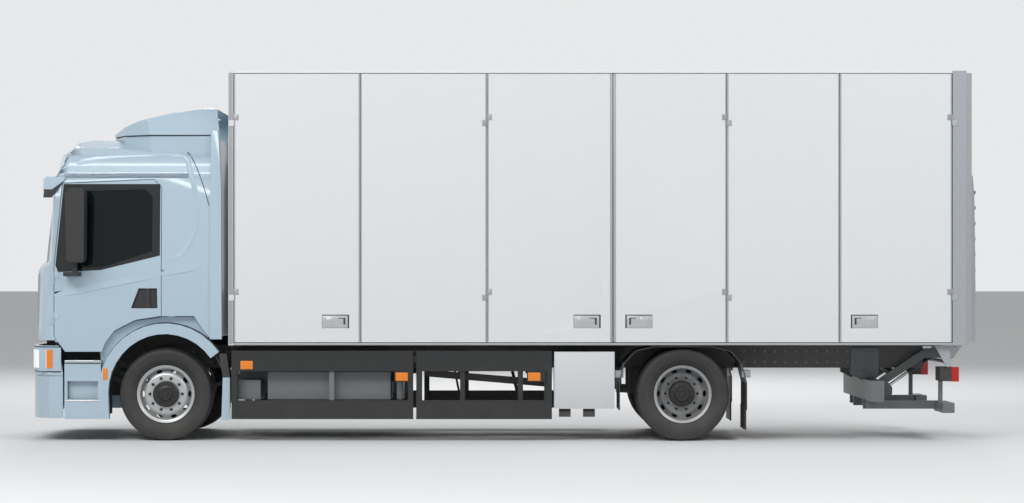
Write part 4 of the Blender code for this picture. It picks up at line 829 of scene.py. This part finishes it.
def wrapped(plan, near, z0, z1, way, proud, deep=0.003):
    """A plate round the nose, over the part of the plan for which near(x, y) is true."""
    part = [spot for spot in plan if near(*spot)]
    work = bmesh.new()
    rows = []
    for i, (x, y) in enumerate(part):
        ahead, behind = part[min(i + 1, len(part) - 1)], part[max(i - 1, 0)]
        out = Vector((-(ahead[1] - behind[1]), ahead[0] - behind[0])).normalized()
        row = []
        for lift, z in ((-deep, z0), (proud, z0), (proud, z1), (-deep, z1)):
            row.append(work.verts.new((x + out.x * lift + FRONT_AXLE_X, way * (y + out.y * lift), z)))
        rows.append(row)
    for first, second in zip(rows, rows[1:]):
        for j in range(4):
            work.faces.new((first[j], first[(j + 1) % 4], second[(j + 1) % 4], second[j]))
    work.faces.new(rows[0])
    work.faces.new(rows[-1])
    bmesh.ops.recalc_face_normals(work, faces=work.faces)
    return work


def arch_ring(inner, outer, start, end, face, way, thick):
    """A flat ring sector beside the front wheel, with elliptic edges."""
    work = bmesh.new()
    sides_of = []
    for y in (face, face - way * thick):
        rows = []
        for i in range(ARCH_STEPS + 1):
            t = math.radians(start + (end - start) * i / ARCH_STEPS)
            rows.append([work.verts.new((FRONT_AXLE_X + along * math.cos(t), y, ARCH_CENTRE_Z + up * math.sin(t)))
                         for along, up in (inner, outer)])
        sides_of.append(rows)
    near, far = sides_of
    for i in range(ARCH_STEPS):
        work.faces.new((near[i][0], near[i][1], near[i + 1][1], near[i + 1][0]))
        work.faces.new((far[i][0], far[i][1], far[i + 1][1], far[i + 1][0]))
        for k in (0, 1):
            work.faces.new((near[i][k], near[i + 1][k], far[i + 1][k], far[i][k]))
    for i in (0, ARCH_STEPS):
        work.faces.new((near[i][0], near[i][1], far[i][1], far[i][0]))
    bmesh.ops.recalc_face_normals(work, faces=work.faces)
    return work


for name, way in SIDES:
    laid(f"lamp_frame_{name}", wrapped(BUMPER_PLAN, lambda x, y: y > 0.76 and x < -1.048, 0.712, 0.975, way, 0.002),
         soft_black, "truck")
    laid(f"lamp_rim_{name}", wrapped(BUMPER_PLAN, lambda x, y: y > 0.78 and x < -1.062, 0.722, 0.965, way, 0.006),
         cab_paint, "truck")
    laid(f"headlamp_{name}", wrapped(BUMPER_PLAN, lambda x, y: y > 0.80 and x < -1.215, *LAMP_HEIGHT, way, 0.011),
         white_lens, "truck")
    laid(f"headlamp_amber_{name}", wrapped(BUMPER_PLAN, lambda x, y: -1.222 < x < -1.145, *LAMP_HEIGHT, way, 0.011),
         amber_lens, "truck")
    laid(f"arch_lining_{name}", arch_ring((0.626, 0.646), (0.70, 0.725), 178, 36, way * 1.148, way, 0.004),
         soft_black, "truck")
    # The reflector takes the glowing amber lens finish. Its glow is painted light, as a reflector is no lamp.
    work = bmesh.new()
    plate(work, FRONT_AXLE_X - 0.636, FRONT_AXLE_X - 0.590, 0.632, 0.750, way * 1.22, way, 0.006, 0.003)
    laid(f"arch_reflector_{name}", work, amber_lens, "truck")
    work = bmesh.new()
    for z in (0.400, 0.812):
        plate(work, FRONT_AXLE_X - 1.033, FRONT_AXLE_X - 0.665, z, z + 0.020, way * 1.214, way, 0.008, 0.004)
    laid(f"step_treads_{name}", work, lock_metal, "truck")
    work = bmesh.new()
    plate(work, FRONT_AXLE_X - 1.003, FRONT_AXLE_X - 0.692, 0.404, 0.616, way * 1.15, way, 0.004)
    laid(f"step_back_{name}", work, cab_paint, "truck")
    laid(f"fairing_seal_{name}", wrapped(FAIRING_FOOT, lambda x, y: True, 3.155, 3.172, way, 0.004, 0.02),
         soft_black, "cab")
    laid(f"fairing_foot_{name}", wrapped(FAIRING_FOOT, lambda x, y: True, 2.96, 3.156, way, 0.008, 0.012),
         cab_paint, "cab")
    infill = [(-0.690, 1.00), (-0.650, 1.030), (-0.527, 1.130), (-0.305, 1.241), (0.0, 1.281), (0.293, 1.281),
              (0.452, 1.075)]
    for step in range(13):
        turn = math.radians(52 + 113 * step / 12)
        infill.append((0.675 * math.cos(turn), ARCH_CENTRE_Z + 0.70 * math.sin(turn)))
    laid(f"arch_infill_{name}", wall_plate(infill, way, -0.076, deep=0.082), cab_paint, "truck")
    laid(f"arch_flap_{name}", arch_ring((0.53, 0.545), (0.650, 0.672), 30, 150, way * 0.668, way, 0.004),
         soft_black, "truck")
    laid(f"arch_flap_top_{name}", arch_ring((0.47, 0.48), (0.56, 0.575), 55, 125, way * 0.662, way, 0.004),
         soft_black, "truck")
    for part, low, proud, cheek_paint in (("cheek", 2.60, 0.0, cab_paint), ("shade", 2.515, -0.004, soft_black)):
        cheek = [(-1.235, 2.735), (-1.03, 2.725), (-1.045, 2.69), (-1.17, low), (-1.26, low)]
        laid(f"visor_{part}_{name}", wall_plate(cheek, way, 0.014 + proud, deep=-0.004), cheek_paint, "cab")
    seam = line([(0.09, 3.06), (0.16, 3.02), (0.25, 2.96), (0.32, 2.83), (0.39, 2.65), (0.44, 2.48), (0.455, 2.43)],
                0.008, way, 0.0012, 4)
    laid(f"fairing_seam_{name}", seam, seam_and_shade_black, "cab")
    ridge = line([(-0.03, 1.872), (0.10, 1.885), (0.19, 1.935), (0.27, 2.07), (0.32, 2.21), (0.335, 2.42),
                  (0.30, 2.62), (0.255, 2.80), (0.22, 2.905), (0.14, 2.955), (-0.10, 2.965), (-0.50, 2.945),
                  (-0.92, 2.875)], 0.055, way, 0.007, 5, profile=RIDGE)
    laid(f"cab_ridge_{name}", ridge, cab_paint, "cab")


# Between the axles
# Dark skirts with the battery cases behind their windows, the side lamps, the cabinet and a tray for the pipes.
# The mudguards and the frame's bolts belong here too.
skirt_black = finish("skirt_black", (0.0105, 0.0115, 0.0125), 0.38, dust=0.10, reach=1.0, drift=0.10)
case_grey = finish("case_grey", (0.135, 0.15, 0.16), 0.45, dust=0.15, reach=1.0, drift=0.05)
cabinet_white = finish("cabinet_white", (0.58, 0.60, 0.62), 0.42, dust=0.10, reach=1.0, drift=0.02)
bracket_grey = finish("bracket_grey", (0.30, 0.32, 0.335), 0.45, metal=0.3, dust=0.25, reach=1.0)
bolt_steel = finish("bolt_steel", (0.16, 0.165, 0.17), 0.45, metal=0.6, dust=0.4, reach=1.2)
HIDDEN_POST = (1.69, 1.76)
SKIRT_FACE, LAMP_RECESS = 1.2505, 1.242
SIDE_LAMPS = ((0.785, 0.742, SKIRT_FACE), (2.385, 0.622, LAMP_RECESS), (3.751, 0.622, LAMP_RECESS))
CABINET_FOOT = 0.3335
CABINET_DOOR = (4.030, 4.636, 0.345, 0.912)
PIPE_TRAY = ((2.667, 0.725), (2.667, 0.655), (3.956, 0.545), (3.956, 0.620))
TRAY_OUT, TRAY_IN = -0.86, -0.80


def recoloured(node, material, second, inside, level=None, edge=0.003):
    """A dressed node with some of its faces in a second material."""
    return split_skin(dressed(node, material, edge), second, inside, level)


def in_frame_x(spot, low, high):
    """Whether a place lies between two distances behind the front axle."""
    return low < spot.x - FRONT_AXLE_X < high


for name, way in SIDES:
    recoloured(f"side_skirt_{name}", skirt_black, case_grey,
               lambda spot: in_frame_x(spot, *HIDDEN_POST) and abs(spot.y) < 1.235)
    dressed(f"batteries_{name}", case_grey, 0.008)
    recoloured(f"rear_mudguard_{name}", soft_black, bracket_grey,
               lambda spot: 0.64 < spot.z < 0.74 and abs(spot.x - REAR_AXLE_X) > 0.604)
    for number, (along, z, out) in enumerate(SIDE_LAMPS, 1):
        x = FRONT_AXLE_X + along
        lens, back = bmesh.new(), bmesh.new()
        plate(back, x - 0.012, x + 0.175, z - 0.010, z + 0.105, way * (out - 0.010), way, 0.010)
        plate(lens, x, x + 0.128, z, z + 0.086, way * out, way, 0.0075, 0.003)
        laid(f"side_lamp_back_{number}_{name}", back, skirt_black, "truck")
        laid(f"side_lamp_{number}_{name}", lens, amber_lens, "truck")
recoloured("side_cabinet", cabinet_white, soft_black, lambda spot: spot.z < CABINET_FOOT, CABINET_FOOT)

work = bmesh.new()
x0, x1, z0, z1 = CABINET_DOOR
plate(work, FRONT_AXLE_X + x0, FRONT_AXLE_X + x1, z0, z1, -1.25, -1, 0.003, 0.002)
laid("cabinet_door", work, cabinet_white, "truck")
work = bmesh.new()
for x, z in PIPE_TRAY:
    work.verts.new((FRONT_AXLE_X + x, TRAY_OUT, z))
bmesh.ops.contextual_create(work, geom=work.verts)
made = bmesh.ops.extrude_face_region(work, geom=work.faces[:])["geom"]
for corner in made:
    if isinstance(corner, bmesh.types.BMVert):
        corner.co.y = TRAY_IN
bmesh.ops.recalc_face_normals(work, faces=work.faces)
laid("pipe_tray", work, skirt_black, "truck")


def bolt_head():
    """A hexagon head with a washer, standing out along +Z."""
    work = bmesh.new()
    bmesh.ops.create_cone(work, cap_ends=True, segments=6, radius1=0.013, radius2=0.0125, depth=0.010)
    bmesh.ops.translate(work, verts=work.verts, vec=(0, 0, 0.007))
    washer = bmesh.ops.create_cone(work, cap_ends=True, segments=10, radius1=0.017, radius2=0.016, depth=0.003)
    bmesh.ops.translate(work, verts=washer["verts"], vec=(0, 0, 0.0015))
    return work


def bolts(name, spots, body):
    """Bolt heads at (x, y, z), facing out from the middle of the truck."""
    mesh = bpy.data.meshes.new(name)
    whole = bmesh.new()
    head = bpy.data.meshes.new(name + "_head")
    source = bolt_head()
    source.to_mesh(head)
    source.free()
    for x, y, z in spots:
        seen = len(whole.verts)
        whole.from_mesh(head)
        whole.verts.ensure_lookup_table()
        turn = Matrix.Translation((x, y, z)) @ Matrix.Rotation(-math.copysign(math.pi / 2, y), 4, "X")
        bmesh.ops.transform(whole, matrix=turn, verts=whole.verts[seen:])
    bmesh.ops.recalc_face_normals(whole, faces=whole.faces)
    whole.to_mesh(mesh)
    whole.free()
    return add(name, mesh, bolt_steel, body)


RAIL_FACE, LIFT_PLATE = 0.43, 0.02
BOLT_RUNS = ((2.55, 0.075, 9), (0.20, 0.09, 5), (6.05, 0.11, 13))
BOLT_ROWS = (0.790, 0.905)
PLATE_BOLTS, PLATE_ROWS = (7.20, 7.26, 7.32, 7.38, 7.44), (0.70, 0.80, 0.905)
along_rails = [start + step * k for start, step, count in BOLT_RUNS for k in range(count)]
spots = [(FRONT_AXLE_X + x, way * RAIL_FACE, z) for x in along_rails for z in BOLT_ROWS for _, way in SIDES]
spots += [(FRONT_AXLE_X + x, way * (RAIL_FACE + LIFT_PLATE), z)
          for x in PLATE_BOLTS for z in PLATE_ROWS for _, way in SIDES]
bolts("frame_bolts", spots, "truck")


# Tail lift and rear
# Bright rods, dark tubes, red lamps at the ends of the lift's frame and a ribbed platform.
RIBS, RIB_LOW, RIB_STEP = 9, 1.27, 0.16
RIB_FACE, RIB_TALL, RIB_PROUD, RIB_HALF = 4.900, 0.035, 0.0045, 1.185
TAIL_LAMP_X, TAIL_LAMP_Y, TAIL_LAMP_Z = (8.132, 8.209), (0.858, 1.174), (0.612, 0.763)
lift_paint = finish("lift_paint", (0.125, 0.135, 0.142), 0.42, metal=0.15, dust=0.30, reach=1.2)
chrome = finish("chrome", (0.60, 0.61, 0.62), 0.14, metal=1.0, dust=0.12, reach=1.0, grain=(200, 0.00003))
platform_metal = finish("platform_metal", (0.40, 0.415, 0.43), 0.40, metal=0.75, dust=0.2, reach=2.0, drift=0.05)
post_grey = finish("post_grey", (0.36, 0.385, 0.41), 0.42, metal=0.35, dust=0.08, reach=1.5, drift=0.02)
recoloured("lift_frame", lift_paint, soft_black, lambda spot: spot.z > 0.60 and in_frame_x(spot, 8.0, 8.3))
dressed("lift_arms", lift_paint, 0.005)
dressed("lift_carrier", bracket_grey, 0.003)
dressed("lift_tubes", soft_black, 0.0)
dressed("lift_rods", chrome, 0.0)
dressed("lift_platform", platform_metal, 0.003)
dressed("rear_frame", post_grey, 0.003)
dressed("front_wall", panel_white, 0.003)
dressed("cargo_roof", panel_white, 0.004)
recoloured("cargo_floor", aluminium, skirt_black, lambda spot: spot.z < 0.992)
split_skin(dressed("rear_doors", panel_white, 0.0, turn=1), seam_grey, lambda spot: abs(spot.y) > 1.24)
for name, way in SIDES:
    work = bmesh.new()
    low, high = sorted(way * y for y in TAIL_LAMP_Y)
    ahead, behind = (FRONT_AXLE_X + x for x in TAIL_LAMP_X)
    brick(work, (ahead, low, TAIL_LAMP_Z[0]), (behind, high, TAIL_LAMP_Z[1]))
    laid(f"tail_lamp_{name}", work, red_lens, "truck")
work = bmesh.new()
for k in range(RIBS):
    z = RIB_LOW + RIB_STEP * k
    brick(work, (RIB_FACE, -RIB_HALF, z), (RIB_FACE + RIB_PROUD, RIB_HALF, z + RIB_TALL))
laid("platform_ribs", work, platform_metal, "lift_platform")
pins = [(FRONT_AXLE_X + 7.50, way * 0.545, 0.565) for _, way in SIDES]
bolts("lift_pins", pins, "truck")
